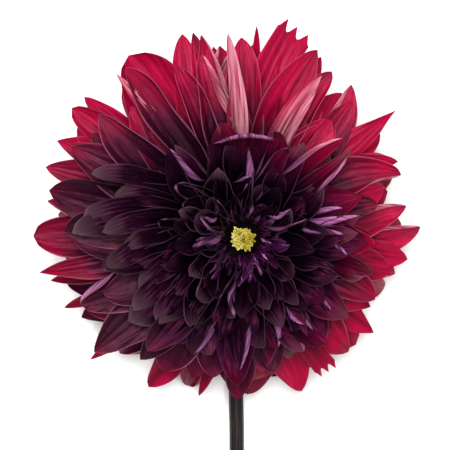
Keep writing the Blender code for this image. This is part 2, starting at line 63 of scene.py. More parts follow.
# The bloom's place, as in the part's source: the height of its eye and the lean of its face.
EYE_HEIGHT = 46.0 * MM
FACE_LEAN = math.radians(12.0)
FACE_LEAN_AZIMUTH = math.radians(301.0)
DISC_MIDDLE = 1.9 * MM  # from the eye's middle to the middle of the disc florets' box, along the axis

# The reach of the rim petals from the eye in mm, seen from above.
RIM_REACH = 71.0
RIM_REACH_SWING = 10.5
RIM_REACH_AZIMUTH = math.radians(135.0)
REACH_TRIES = 8

# Where the dark heart gives way to crimson, as a share of the rim's reach: mean, waves round the bloom.
DARK_SHARE = 0.722
DARK_SHARE_SINE = -0.155
DARK_SHARE_COSINE = -0.105
DARK_SHARE_SECOND = 0.0625
DARK_FADE = 0.5  # the share of the reach over which the colour changes
# Painted shade: the young petals are darkened away from this side, as in the shadow of the hollow round the
# eye.
YOUNG_PAINTED_LIGHT_SIDE = math.radians(320.0)  # the young petals are darkest opposite this azimuth
# Painted highlight: the eye's florets are paled on this side; the eye also reaches a little further out
# there.
EYE_PAINTED_LIGHT_SIDE = math.radians(160.0)  # the eye's florets are palest on this side and olive on the other

GOLDEN_ANGLE = math.pi * (3.0 - math.sqrt(5.0))
ROOT_DEPTH = 2.6 * MM  # petals are rooted this deep in the receptacle

# How a petal comes to rest: it flares out from the first height on and rests from the second one down.
FLARE_HEIGHT = 5.0 * MM
TOUCH_HEIGHT = 0.4 * MM
FOOT_SHARE = 0.18  # at least this share of a back petal lies on the surface
FOOT_LIFT = 0.35 * MM  # the thin drawn blades stand this far over the surface below a resting one

# Receptacle and cup: radii and depths in the bloom's frame, and the gap between pieces.
GAP = 0.3 * MM
SEAT_RADIUS = 6.6 * MM
UPPER_RADIUS = 13.0 * MM
UPPER_DEPTH = 3.7 * MM
LOWER_RADIUS = 14.0 * MM
LOWER_DEPTH = 11.0 * MM
CUP_RADIUS = 10.0 * MM
CUP_DEPTH = 15.4 * MM

# The stem: radius, flare under the cup, bend of its neck and the length beyond it.
STEM_RADIUS = 2.9 * MM
STEM_FLARE = 1.5 * MM
STEM_FLARE_LENGTH = 9.0 * MM
NECK_STRAIGHT = 4.0 * MM
NECK_BEND_RADIUS = 19.0 * MM
STEM_RUN = 165.0 * MM
STEM_SPACING = 9.0 * MM
STEM_SHIFT = 2.2 * MM
STEM_SHIFT_SHARE = 3.0
STEM_GUARD = 7.0 * MM
STEM_EASING = 3
STEM_AZIMUTH = math.radians(270.0)  # the stem runs this way from the bloom, between two back petals

# What the drawn stem adds: its rings' last easing, its ribs, and swellings as height, length and start.
LINE_EASING = 6
STEM_RIBS = 8
STEM_RIB = 0.09 * MM
STEM_SWELLS = ((0.12 * MM, 17.0 * MM, 0.7), (0.08 * MM, 6.1 * MM, 0.0))
STEM_SLIMMER = 0.12 * MM  # so that ribs and swellings stay near the solid's skin
STEM_LOWEST = 0.03 * MM
CUT_END = ((0.82, 0.0), (0.42, 1.6 * MM), (0.02, 1.9 * MM))  # its rings' shares of the radius and depths
TOP_SHARE = 0.02  # of the radius, for the ring that closes the top

# How a petal is bent. Places run from 0 at its root to 1 at its tip, and from -1 to 1 across it.
BEND_STEPS = 40
BEND_POWER = 1.2
CURL_START = 0.7
WAVES_ALONG = 1.3
ROW_POWER = 0.9  # below 1 the rows lie closer together towards the tip
TWIST_LENGTH = 0.5
LOBE_START = 0.55
LOBE_POWER = 1.3
ROLL_START = 0.45  # edges roll in from here out
ROLL_POWER = 1.4
FOLD_BAND = (0.38, 0.78)  # a folded edge turns over between these
FOLD_LENGTH = 0.3
CREASE_SHARPNESS = 5.0

# A petal's outline, as shares of its widest, and the waves along its edges: their count and their lag.
WIDENING_POWER = 0.9
CLAW_WIDTH = 0.30
LOWER_WIDTH = 0.72
TIP_WIDTH = 0.02
STRAYS = (1.7, 2.1)
RIPPLES = (2.2, 1.7)
RIDGES = 5.0
TIP_THICKNESS = 0.45

# How finely the pieces are drawn: rows and columns of a petal, sides and rings of what is round.
BRACT_CELLS = (24, 12)
RIM_CELLS = (30, 14)
LONG_CELLS = (36, 18)
DARK_CELLS = (24, 16)
YOUNG_CELLS = (14, 10)
FLORET_CELLS = (8, 8)
TURNED_SIDES = 64
DOME_SIDES = 40
STEM_SIDES = 48
STEM_RINGS = 220
SHARP_ANGLE = math.radians(50.0)

# How many there are of each kind of petal, apart from those that the sizes below add.
FOOT_PETALS = 7
BACK_PETALS = 14
RIM_PETALS = 34
DARK_PETALS = 40
YOUNG_PETALS = 18
BRACTS = 7
FLORETS = 70

# Every group of petals has random draws of its own, from its own seed.
SEEDS = {
    "bracts": 21,
    "feet": 31,
    "backs": 44,
    "backs_varied": 45,
    "rim": 7,
    "more_rim": 41,
    "rim_varied": 32,
    "long_varied": 33,
    "dark": 13,
    "more_dark": 42,
    "dark_varied": 34,
    "standouts_varied": 37,
    "young": 14,
    "more_young": 43,
    "young_varied": 35,
    "eye": 36,
}

# The stage: half of the floor's side, how far the view's middle lies from the eye, and the lights' sizes.
FLOOR_HALF = 2.0
VIEW_SHIFT = (-7.0 * MM, 5.0 * MM)
VIEW_DEPTH = 20.0
SENSOR_WIDTH = 36.0
TOP_LIGHT_ANGLE = math.radians(24.0)
SIDE_LIGHT_SIZE = 0.2
RIGHT_SHARE = 0.6  # the right light's power as a share of the left one's

FACE_TURN = Matrix.Rotation(
    FACE_LEAN, 3, Vector((-math.sin(FACE_LEAN_AZIMUTH), math.cos(FACE_LEAN_AZIMUTH), 0.0))
)
FACE_AXES = np.array(FACE_TURN)
EYE = np.array((0.0, 0.0, EYE_HEIGHT))


def eye_shift():
    """From the layout's origin to the point of the surface below the eye, read from the disc's solid."""
    low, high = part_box("disc_florets")
    axis = FACE_AXES[:, 2]
    middle = (np.array(low) + np.array(high)) / 2.0 - axis * DISC_MIDDLE
    return np.array((middle[0], middle[1], 0.0))


SHIFT = eye_shift()


def linear(hexcode):
    """The linear red, green and blue of a colour's sRGB hex value."""
    shares = [int(hexcode[place : place + 2], 16) / 255.0 for place in (0, 2, 4)]
    return tuple(s / 12.92 if s <= 0.04045 else ((s + 0.055) / 1.055) ** 2.4 for s in shares)


def colour(hexcode, name, description):
    """A colour property with its default."""
    return bpy.props.FloatVectorProperty(
        name=name, description=description, subtype="COLOR", size=3, min=0.0, max=1.0, default=linear(hexcode)
    )


def length_of(default, name, description):
    """A length property with its default."""
    return bpy.props.FloatProperty(name=name, description=description, default=default, unit="LENGTH")


def count_of(default, name, description):
    """A property for a number of petals, with its default."""
    return bpy.props.IntProperty(name=name, description=description, default=default)


class DAHLIA_PG_sizes(bpy.types.PropertyGroup):
    """Sizes and numbers of petals"""

    blade: length_of(0.5 * MM, "Blade", "Thickness in the middle of a petal")
    blade_edge: length_of(0.22 * MM, "Blade edge", "Thickness at a petal's edge")
    ridge: length_of(0.3 * MM, "Ridge", "Height of the ridges along a petal")
    more_rim: count_of(30, "More rim petals", "Rim petals between those of the solids")
    more_dark: count_of(44, "More dark petals", "Dark petals between those of the solids")
    more_young: count_of(44, "More young petals", "Young petals between those of the solids")


class DAHLIA_PG_colours(bpy.types.PropertyGroup):
    """Colours of the bloom, from its heart outwards and down to the stem"""

    # Painted shade: the near-black of the deepest hollow round the eye, darker than the petals' own colour.
    pit_shade: colour("060106", "Pit", "Deepest part of the heart")
    heart: colour("170413", "Heart", "Purple-black of the inner petals")
    maroon: colour("31041a", "Maroon", "Where the heart gives way to crimson")
    wine: colour("580520", "Wine", "Bases of the rim petals")
    crimson: colour("700324", "Crimson", "Faces of the rim petals")
    # Hot crimson: partly the rim tips' own colour and partly a painted glow, standing in for light through
    # the blade.
    hot: colour("8e032d", "Hot crimson", "Tips of the rim petals")
    silver: colour("c07c8c", "Silver pink", "Backs of the rim petals")
    # Lilac: partly the backs' own paler colour and partly a painted highlight where rolled and folded edges
    # turn over.
    lilac: colour("aa689c", "Lilac", "Backs and rolled edges of the dark petals")
    magenta: colour("320a30", "Magenta", "Young petals round the eye")
    yellow: colour("a38f10", "Yellow", "Disc florets")
    pale_yellow: colour("d2c66a", "Pale yellow", "Tips of the disc florets")
    bract: colour("4f6030", "Bract green", "Cup and bracts")
    stalk: colour("150f0f", "Stalk", "Skin of the stem")


class DAHLIA_PG_stage(bpy.types.PropertyGroup):
    """Floor, view and lights"""

    floor: colour("f4f3f1", "Floor", "Plain pale floor")
    view_width: length_of(174.4 * MM, "View width", "Width of the view at the bloom")
    camera_height: length_of(1.5, "Camera height", "From the surface up")
    top: bpy.props.FloatProperty(
        name="Top light", description="Strength of the wide soft light overhead, in W/m2", default=3.4
    )
    side: bpy.props.FloatProperty(
        name="Side light", description="Power of the soft light at the left", default=5.0, unit="POWER"
    )
    around: bpy.props.FloatProperty(
        name="Room light", description="Strength of the even light from all round", default=0.38
    )


def blend(place, *stops):
    """The value at a place from 0 to 1, read from evenly spaced stops."""
    return np.interp(place, np.linspace(0.0, 1.0, len(stops)), stops)


def draws(group):
    """A group's own random draws."""
    return np.random.default_rng(SEEDS[group])


def smooth_step(value, low, high):
    """0 below low and 1 above high, with a soft change between."""
    share = np.clip((value - low) / (high - low), 0.0, 1.0)
    return share * share * (3.0 - 2.0 * share)


def stem_path():
    """The stem's middle line, from the cup down through the neck and along the surface."""
    axis = FACE_AXES[:, 2]
    top = EYE - axis * (CUP_DEPTH + GAP)
    down = -axis
    bend_start = top + down * NECK_STRAIGHT
    run_drop = bend_start[2] - NECK_BEND_RADIUS - STEM_RADIUS
    run = np.array((0.0, -math.cos(run_drop / STEM_RUN), -math.sin(run_drop / STEM_RUN)))
    turn_axis = np.cross(down, run)
    turn_axis /= np.linalg.norm(turn_axis)
    turn = math.acos(float(np.dot(down, run)))
    inward = np.cross(turn_axis, down)
    centre = bend_start + inward * NECK_BEND_RADIUS
    points = [top, (top + bend_start) / 2.0]
    bend_steps = math.ceil(turn * NECK_BEND_RADIUS / (STEM_SPACING / 2.0))
    for angle in np.linspace(0.0, turn, bend_steps + 1):
        spoke = Matrix.Rotation(angle, 3, Vector(turn_axis)) @ Vector(-inward * NECK_BEND_RADIUS)
        points.append(centre + np.array(spoke))
    bend_end = points[-1]
    drop = bend_end[2] - STEM_RADIUS
    for place in np.linspace(0.0, 1.0, math.ceil(STEM_RUN / STEM_SPACING) + 1)[1:]:
        point = bend_end + run * STEM_RUN * place
        point[0] += STEM_SHIFT * min(1.0, STEM_SHIFT_SHARE * place)
        point[2] = STEM_RADIUS + drop * (1.0 - place) ** 2
        points.append(point)
    return np.array(points)


STEM_PATH = stem_path()


def floor_under(x, y):
    """The height of what a petal may rest on: the surface, or the stem with its ridge."""
    behind = STEM_PATH[STEM_PATH[:, 1] < -NECK_BEND_RADIUS / 2.0]
    order = np.argsort(behind[:, 1])
    height = np.interp(y, behind[order, 1], behind[order, 2], left=0.0, right=behind[:, 2].max())
    middle = np.interp(y, behind[order, 1], behind[order, 0])
    ridge = (height + STEM_RADIUS + 2.0 * GAP) * np.exp(-(((x - middle) / STEM_GUARD) ** 4))
    return np.where(np.asarray(y) > 0.0, 0.0, ridge)


def reach_at(azimuth):
    """How far the rim petals reach from the eye at an azimuth."""
    return RIM_REACH + RIM_REACH_SWING * np.cos(azimuth - RIM_REACH_AZIMUTH)


def length_to_reach(azimuth, reach, root, leans):
    """The length in mm that brings a petal's tip as far from the eye as reach, seen from above."""
    places = (np.arange(BEND_STEPS) + 0.5) / BEND_STEPS
    lean = np.radians(leans[0] + (leans[1] - leans[0]) * places**BEND_POWER)
    outward, upward = float(np.mean(np.sin(lean))), float(np.mean(np.cos(lean)))
    length = reach - root[0]
    for _ in range(REACH_TRIES):
        radius = root[0] + length * outward
        height = root[1] + length * upward
        tip = FACE_AXES @ np.array((radius * math.cos(azimuth), radius * math.sin(azimuth), height))
        length += reach - math.hypot(tip[0], tip[1])
    return length


def petal_of(azimuth, root, leans, length, width, **more):
    """A petal's description, from sizes in mm and angles in degrees.

    Its root is a radius and a height in the bloom's frame, and it leans from the bloom's axis by the first
    angle at its root and by the second at its tip.
    """
    petal = {
        "azimuth": azimuth,
        "root": MM * np.array(root),
        "leans": np.radians(leans),
        "length": length * MM,
        "half_width": width * MM / 2.0,
        "cup_root": 0.5,
        "cup": 0.45,
        "cup_tip": 0.3,
        "roll": 0.0,  # how far the edges roll in over the face, in radians
        "roll_skew": 0.0,  # from -1 to 1, more roll on one edge than on the other
        "fold": 0.0,  # how far one edge is folded over the face, in radians; its sign gives the edge
        "fold_start": 0.35,  # where along the petal the fold begins
        "keel": 0.0,  # a crease along the middle, in radians
        "twist": 0.0,
        "sweep": 0.0,
        "curl": 0.0,  # how far the tip curls back, or up where it is below 0
        "wave": 0.0,
        "wave_start": 0.0,
        "ripple": 0.45 * MM,
        "ragged": 0.05,  # how far the outline strays in and out, as a share of the width
        "tip_power": 0.75,  # below this a tip is rounder
        "tip_width": 0.0,  # a blunt tip's share of the widest
        "lobe_depth": 0.0,  # how deep the tip is notched between its three lobes, as a share of the length
        "clearance": 0.8 * MM,
        "shade": 0.0,  # moves the petal's colour towards the heart, or out to the rim
        "heart": None,  # a fixed place in the colours, where that doesn't follow from the petal's own place
        "silver": 0.0,  # 1 where the petal is turned so that its back shows
        "tone": 0.0,
    }
    petal.update(more)
    return petal


def walk_midline(petal):
    """Points along a petal's middle, its directions there, and how far each lies on a surface."""
    azimuth = petal["azimuth"]
    first, last = petal["leans"]
    root = petal["root"] - ROOT_DEPTH * np.array((math.sin(first), math.cos(first)))
    outward = np.array((math.cos(azimuth), math.sin(azimuth), 0.0))
    point = FACE_AXES @ (outward * root[0] + np.array((0.0, 0.0, root[1]))) + EYE
    step = (petal["length"] + ROOT_DEPTH) / BEND_STEPS
    stand = petal["clearance"] + FOOT_LIFT
    points, heads, rests = [point], [], []
    for index in range(BEND_STEPS):
        place = (index + 0.5) / BEND_STEPS
        lean = first + (last - first) * place**BEND_POWER
        lean += petal["curl"] * max(0.0, (place - CURL_START) / (1.0 - CURL_START)) ** 2
        lean += petal["wave"] * math.sin(math.tau * (WAVES_ALONG * place + petal["wave_start"])) * place
        turned = azimuth + petal["sweep"] * place**2
        head = FACE_AXES @ np.array(
            (math.sin(lean) * math.cos(turned), math.sin(lean) * math.sin(turned), math.cos(lean))
        )
        above = point[2] - float(floor_under(point[0], point[1])) - stand
        rest = 0.0
        if head[2] < 0.0 and above < FLARE_HEIGHT:
            rest = 1.0 - math.sqrt(max(above, 0.0) / FLARE_HEIGHT)
            head[2] *= 1.0 - rest
            head /= np.linalg.norm(head)
        point = point + head * step
        floor = float(floor_under(point[0], point[1])) + stand
        if point[2] < floor + TOUCH_HEIGHT:
            point[2] = floor
            rest = 1.0
        points.append(point)
        heads.append(head)
        rests.append(rest)
    heads = np.array([heads[0]] + heads)
    rests = np.array([rests[0]] + rests)
    heads[1:-1] = (heads[1:-1] + heads[2:]) / 2.0
    return np.array(points), unit(heads), rests


def outline(place, tip_power, tip_width):
    """A petal's half-width along its length, as a share of the widest: narrow claw, broad blade, tip."""
    widest = WIDENING_POWER / (WIDENING_POWER + tip_power)
    top = widest**WIDENING_POWER * (1.0 - widest) ** tip_power
    blade = np.minimum(1.0, place**WIDENING_POWER * (1.0 - place) ** tip_power / top)
    blade = blade * (LOWER_WIDTH + (1.0 - LOWER_WIDTH) * place)
    pointed = CLAW_WIDTH * (1.0 - place) + blade + TIP_WIDTH
    return pointed + (np.maximum(tip_width, pointed) - pointed) * smooth_step(place, widest, 1.0)


def edge_waves(petal, along, across, count, lag):
    """Waves along a petal's two edges, of which one lags behind the other."""
    return np.sin(math.tau * (count * along + petal["wave_start"]) + lag * np.sign(across))


def slope_across(petal, along, across):
    """How steeply a petal rises to its sides, in radians: cup, rolled edges, crease and folded edge."""
    cup = blend(along, petal["cup_root"], petal["cup"], petal["cup"], petal["cup_tip"]) * across
    side = np.sign(across)
    roll = np.clip((np.abs(across) - ROLL_START) / (1.0 - ROLL_START), 0.0, 1.0) ** ROLL_POWER
    roll = petal["roll"] * roll * (1.0 + petal["roll_skew"] * side) * side
    roll = roll * np.sin(math.pi * along**1.9) ** 0.7  # strongest in the outer half
    crease = petal["keel"] * np.tanh(CREASE_SHARPNESS * across) * (1.0 - along)
    fold_end = petal["fold_start"] + FOLD_LENGTH
    fold = petal["fold"] * smooth_step(along, petal["fold_start"], fold_end)
    fold = fold * smooth_step(across * math.copysign(1.0, petal["fold"]), *FOLD_BAND)
    return cup + roll + crease + fold


def relief(petal, along, across, sizes):
    """How far a petal's face stands out: ridges along it and the ripple of its edges."""
    ridges = sizes.ridge * np.cos(math.pi * RIDGES * across) * (1.0 - across**4)
    ripple = petal["ripple"] * np.abs(across) ** 3 * edge_waves(petal, along, across, *RIPPLES)
    return (ridges + ripple) * np.sin(math.pi * along) ** 0.5


def thickness(along, across, sizes):
    """A blade's thickness, thinner towards its edges and its tip."""
    thick = sizes.blade_edge + (sizes.blade - sizes.blade_edge) * np.sqrt(1.0 - across**2)
    return thick * (TIP_THICKNESS + (1.0 - TIP_THICKNESS) * np.sqrt(1.0 - along**3))


def run_sum(values, spacing, middle):
    """The running sum of slopes across a petal, nought in its middle column."""
    steps = (values[:, 1:] + values[:, :-1]) / 2.0 * spacing
    total = np.concatenate([np.zeros((len(values), 1)), np.cumsum(steps, axis=1)], axis=1)
    return total - total[:, middle : middle + 1]


def unit(vectors):
    """Vectors brought to a length of one."""
    return vectors / np.maximum(np.linalg.norm(vectors, axis=-1, keepdims=True), 1e-12)


def bend_blade(petal, rows, columns, sizes):
    """The points and measures of one petal: a grid of face points and one of back points."""
    line, heads, rests = walk_midline(petal)
    across = np.linspace(-1.0, 1.0, columns + 1)[None, :]
    along = (np.linspace(0.0, 1.0, rows + 1) ** ROW_POWER)[:, None]
    notch = np.abs(np.sin(1.5 * math.pi * across)) ** LOBE_POWER * smooth_step(along, LOBE_START, 1.0)
    place = np.clip(along - petal["lobe_depth"] * notch, 0.0, 1.0)
    steps = np.linspace(0.0, 1.0, BEND_STEPS + 1)
    point, head = (
        np.stack([np.interp(place, steps, values[:, axis]) for axis in range(3)], axis=-1)
        for values in (line, heads)
    )
    head = unit(head)
    free = 1.0 - np.interp(place, steps, rests)
    azimuth = petal["azimuth"] + petal["sweep"] * place**2
    level = np.stack([np.sin(azimuth), -np.cos(azimuth), np.zeros_like(azimuth)], axis=-1) @ FACE_AXES.T
    level = unit(level - head * np.sum(head * level, axis=-1, keepdims=True))
    upright = np.cross(level, head)
    twist = (petal["twist"] * np.minimum(1.0, place / TWIST_LENGTH) * free)[..., None]
    side = level * np.cos(twist) + upright * np.sin(twist)
    normal = upright * np.cos(twist) - level * np.sin(twist)

    slope = slope_across(petal, along, across) * free
    half_width = petal["half_width"] * outline(along, petal["tip_power"], petal["tip_width"])
    strays = edge_waves(petal, along, across, *STRAYS) * np.abs(across)
    half_width = half_width * (1.0 + petal["ragged"] * strays)
    sideways, upward = (
        run_sum(part, 2.0 / columns, columns // 2) * half_width for part in (np.cos(slope), np.sin(slope))
    )
    face = point + side * sideways[..., None] + normal * upward[..., None]
    out = normal * np.cos(slope)[..., None] - side * np.sin(slope)[..., None]
    face = face + out * (relief(petal, along, across, sizes) * free)[..., None]
    back = face - out * thickness(along, across, sizes)[..., None]
    return lift_off(petal, face, back), measures(petal, face, place, across)


def lift_off(petal, face, back):
    """Lifts each pair of points until the lower one is on or above what the petal lies on."""
    lift = np.zeros(face.shape[:2])
    for points in (face, back):
        floor = floor_under(points[..., 0], points[..., 1]) + petal["clearance"]
        lift = np.maximum(lift, floor - points[..., 2])
    up = np.zeros_like(face)
    up[..., 2] = lift
    return face + up, back + up


def measures(petal, face, place, across):
    """What the materials read at each point of a petal."""
    radius = np.hypot(face[..., 0], face[..., 1])
    azimuth = np.arctan2(face[..., 1], face[..., 0])
    dark = DARK_SHARE + DARK_SHARE_SINE * np.sin(azimuth) + DARK_SHARE_COSINE * np.cos(azimuth)
    dark = dark + DARK_SHARE_SECOND * np.cos(2.0 * azimuth)
    share = radius / MM / reach_at(azimuth)
    full = np.ones_like(radius)
    heart = 0.5 + (share - dark) / DARK_FADE if petal["heart"] is None else petal["heart"] * full
    width = petal["half_width"] * outline(place, petal["tip_power"], petal["tip_width"])
    return {
        "heart": np.clip(heart + petal["shade"], 0.0, 1.0),
        "along": place * full,
        "across": across * full,
        "tone": petal["tone"] * full,
        "silver": petal["silver"] * smooth_step(across, -1.0, 0.1) * full,
        "lie": np.stack([across * width, place * petal["length"], petal["tone"] * full], axis=-1),
    }


def blade_faces(rows, columns):
    """The four-sided faces of a closed blade whose grid of face points is followed by that of its back."""
    wide = columns + 1
    count = (rows + 1) * wide
    row, column = np.meshgrid(np.arange(rows), np.arange(columns), indexing="ij")
    corner = (row * wide + column).ravel()
    front = np.stack([corner, corner + 1, corner + wide + 1, corner + wide], axis=1)
    faces = [front, front[:, ::-1] + count]
    left = np.arange(rows) * wide
    right = left + columns
    low = np.arange(columns)
    high = low + rows * wide
    faces.append(np.stack([left, left + wide, left + wide + count, left + count], axis=1))
    faces.append(np.stack([right + wide, right, right + count, right + wide + count], axis=1))
    faces.append(np.stack([low + 1, low, low + count, low + 1 + count], axis=1))
    faces.append(np.stack([high, high + 1, high + 1 + count, high + count], axis=1))
    return np.concatenate(faces)


def build_mesh(name, points, faces, values=None):
    """A mesh object from arrays, moved to the eye, smooth with sharp edges, with its measures."""
    mesh = bpy.data.meshes.new(name)
    mesh.from_pydata((points + SHIFT).tolist(), [], faces.tolist())
    mesh.shade_smooth()
    mesh.set_sharp_from_angle(angle=SHARP_ANGLE)
    for key, numbers in (values or {}).items():
        if numbers.ndim == 2:
            mesh.attributes.new(key, "FLOAT_VECTOR", "POINT").data.foreach_set("vector", numbers.ravel())
        else:
            mesh.attributes.new(key, "FLOAT", "POINT").data.foreach_set("value", numbers)
    piece = bpy.data.objects.new(name, mesh)
    bpy.context.scene.collection.objects.link(piece)
    return piece


def draw_petals(name, petals, rows, columns):
    """One piece of many petals."""
    sizes = bpy.context.scene.dahlia_sizes
    flat = blade_faces(rows, columns)
    points, faces, values = [], [], {}
    start = 0
    for petal in petals:
        (face, back), read = bend_blade(petal, rows, columns, sizes)
        read["reverse"] = np.zeros(face.shape[:2])
        behind = np.zeros(face.shape[:2])  # the back's outermost points keep the face's colour
        behind[1:-1, 1:-1] = 1.0
        points += [face.reshape(-1, 3), back.reshape(-1, 3)]
        faces.append(flat + start)
        start += 2 * face.shape[0] * face.shape[1]
        for key, numbers in read.items():
            shape = (-1, 3) if numbers.ndim == 3 else (-1,)
            other = behind if key == "reverse" else numbers
            values.setdefault(key, []).extend([numbers.reshape(shape), other.reshape(shape)])
    values = {key: np.concatenate(parts) for key, parts in values.items()}
    return build_mesh(name, np.concatenate(points), np.concatenate(faces), values)


def dress(piece, material, slot, *nodes):
    """Gives a piece its material and body, and hides the solids that it stands for; slot is not used."""
    piece.data.materials.append(material)
    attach(piece, "root")
    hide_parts(*nodes)


# The long petals in front of the rim. Azimuth in degrees, reach from the eye and width in mm, how far the
# petal bends sideways in degrees, level from the top (0) to the lowest (3), and the finish.
LONG_PETALS = (
    (24.0, 68.0, 18.0, -45.0, 0, "grey"),
    (27.5, 69.5, 11.0, -40.0, 1, "hot"),
    (41.0, 76.5, 13.0, 0.0, 1, "pointed"),
    (36.0, 68.0, 16.0, -10.0, 2, "hot"),
    (54.0, 73.0, 16.0, 25.0, 2, "folded"),
    (50.0, 68.0, 15.0, 10.0, 1, "dark"),
    (61.0, 68.0, 10.0, 0.0, 3, "plain"),
    (63.0, 73.0, 13.0, -20.0, 1, "striped"),
    (67.0, 77.0, 14.0, -20.0, 2, "striped"),
    (66.8, 69.0, 8.6, -25.0, -1, "silver"),
    (70.5, 78.5, 22.0, -25.0, 1, "plain"),
    (79.0, 85.5, 19.0, -20.0, 2, "lobed"),
    (85.4, 82.5, 5.0, 0.0, 3, "hot"),
    (88.5, 77.0, 17.0, -6.0, 1, "dark"),
    (93.8, 78.0, 8.4, 0.0, -1, "silver"),
    (96.5, 75.5, 10.0, 0.0, 3, "hot"),
    (100.5, 79.5, 15.0, 5.0, 1, "dark"),
    (103.5, 81.5, 13.0, 0.0, 2, "plain"),
    (107.5, 82.5, 20.0, -12.0, 2, "hot"),
    (103.5, 72.0, 14.0, 8.0, 0, "striped"),
    (109.5, 71.0, 13.0, 6.0, 0, "striped"),
    (123.0, 83.0, 27.0, 6.0, 2, "round"),
    (123.0, 79.0, 15.0, 6.0, 0, "striped"),
    (128.0, 79.0, 7.4, 8.0, 0, "silver"),
    (138.5, 82.5, 13.0, 0.0, 3, "hot"),
    (141.5, 83.0, 16.0, 0.0, 3, "round"),
    (137.0, 73.0, 22.0, -20.0, 0, "striped"),
    (145.0, 71.0, 16.0, -10.0, 1, "dark"),
    (152.0, 75.0, 20.0, 0.0, 1, "grey"),
    (159.0, 81.0, 17.0, 10.0, 2, "plain"),
    (167.0, 77.0, 20.0, 10.0, 1, "grey"),
    (176.5, 69.0, 17.0, 25.0, 0, "dark"),
    (180.0, 81.0, 21.0, 0.0, 3, "round"),
    (190.5, 80.0, 13.0, 0.0, 2, "hot"),
    (203.0, 68.0, 18.0, 10.0, 1, "grey"),
    (219.0, 72.5, 21.0, 8.0, 1, "grey"),
    (232.0, 62.0, 16.0, 0.0, 1, "dark"),
    (241.0, 69.0, 17.0, -8.0, 3, "hot"),
    (253.0, 58.5, 18.0, 6.0, 1, "plain"),
    (268.0, 63.0, 16.0, 0.0, 1, "dark"),
    (282.0, 53.5, 17.0, 0.0, 0, "dark"),
    (291.0, 65.0, 18.0, 0.0, 3, "hot"),
    (304.0, 62.5, 15.0, 6.0, 1, "lobed"),
    (310.5, 62.0, 17.0, 0.0, 2, "hot"),
    (322.0, 63.5, 17.0, 0.0, 3, "hot"),
    (331.0, 57.0, 14.0, 8.0, 2, "hot"),
    (338.0, 57.0, 15.0, -6.0, 0, "plain"),
    (345.5, 59.5, 17.0, 0.0, 1, "plain"),
    (354.0, 65.0, 17.0, 6.0, 2, "hot"),
    (1.0, 68.5, 14.0, 25.0, 3, "folded"),
    (9.0, 64.5, 15.0, 10.0, 2, "folded"),
    (14.0, 54.0, 13.0, -15.0, 0, "grey"),
)
FINISHES = {
    "plain": {"cup": 0.7},
    "hot": {"shade": 0.12, "tip_power": 0.8, "cup": 0.6},
    "round": {"shade": 0.06, "tip_power": 0.48, "cup": 0.8, "cup_tip": 0.9, "curl": -0.35},
    "dark": {"shade": -0.36, "keel": 0.5, "cup": 0.7},
    "pointed": {"tip_power": 1.0, "twist": 0.35, "curl": -0.3, "shade": -0.08},
    "folded": {"fold": -2.0, "curl": -0.4, "cup": 0.7},
    "striped": {"shade": -0.3, "tone": 0.8, "roll": 0.8, "roll_skew": 0.6, "keel": 0.6, "cup": 0.6},
    "silver": {"silver": 1.0, "cup": -0.35, "cup_root": 0.3, "cup_tip": -0.5, "keel": 0.25, "tip_power": 0.8},
    "grey": {"shade": -0.28, "cup": 0.5, "cup_tip": 0.6, "curl": -0.3, "tip_power": 0.65},
    "lobed": {"shade": 0.04, "lobe_depth": 0.06, "tip_width": 0.75, "cup": 0.6},
}
SWEEP_SHARE = 0.28  # how much of its sideways bend moves a petal's tip round the bloom
SLIM_PETALS = ((196.5, 77.6), (204.0, 75.6), (222.0, 77.4), (260.0, 65.0))


def foot_petals():
    """The back petals that the bloom rests on, spread evenly with the stem between two."""
    petals = []
    for index in range(FOOT_PETALS):
        azimuth = STEM_AZIMUTH + math.tau * (index + 0.5) / FOOT_PETALS
        more = -math.degrees(FACE_LEAN) * math.cos(azimuth - FACE_LEAN_AZIMUTH)
        leans = 130.0 + more, 154.0 + more
        petal = petal_of(azimuth, (11.0, -9.8), leans, length=45.0, width=17.0, clearance=0.0)
        while np.mean(walk_midline(petal)[2] >= 1.0) < FOOT_SHARE:
            petal["length"] += MM
        petals.append(petal)
    return petals


def back_petals(draw):
    """Petals turned back between those that the bloom rests on, clear of the surface.

    Every second one lies between two of those and is nearly as long.
    """
    petals = []
    for index in range(BACK_PETALS):
        more = 10.0 * (1 - index % 2)
        azimuth = STEM_AZIMUTH + math.tau * index / BACK_PETALS + 0.06 * draw.standard_normal()
        leans = 112.0 + more, 138.0 + more + 4.0 * draw.standard_normal()
        length = 38.0 + more + 2.0 * draw.standard_normal()
        petals.append(petal_of(azimuth, (11.6, -9.4), leans, length, width=18.0, clearance=2.0 * MM))
    return petals


def rim_petals(count, draw, first_turn, shorter):
    """The crimson petals of the rim and of the rows behind it, in a spiral that starts at first_turn.

    Their reach is multiplied by shorter.
    """
    petals = []
    for index in range(count):
        place = index / (count - 1)
        azimuth = first_turn + index * GOLDEN_ANGLE + 0.08 * draw.standard_normal()
        reach = blend(place, 0.80, 0.93, 1.0, 0.99) * reach_at(azimuth) * shorter
        reach += 1.8 * draw.standard_normal()
        root = blend(place, 13.2, 13.6, 12.8, 12.0), blend(place, -5.2, -6.4, -7.8, -9.2)
        lean_tip = blend(place, 98.0, 110.0, 122.0, 136.0) + 4.0 * draw.standard_normal()
        leans = blend(place, 66.0, 76.0, 88.0, 98.0), lean_tip
        length = length_to_reach(azimuth, reach, root, leans)
        width = blend(place, 17.0, 19.5, 20.0, 18.0)
        turns = {"twist": 0.16 * draw.standard_normal(), "sweep": 0.1 * draw.standard_normal()}
        petals.append(petal_of(azimuth, root, leans, length, width, **turns))
    return petals


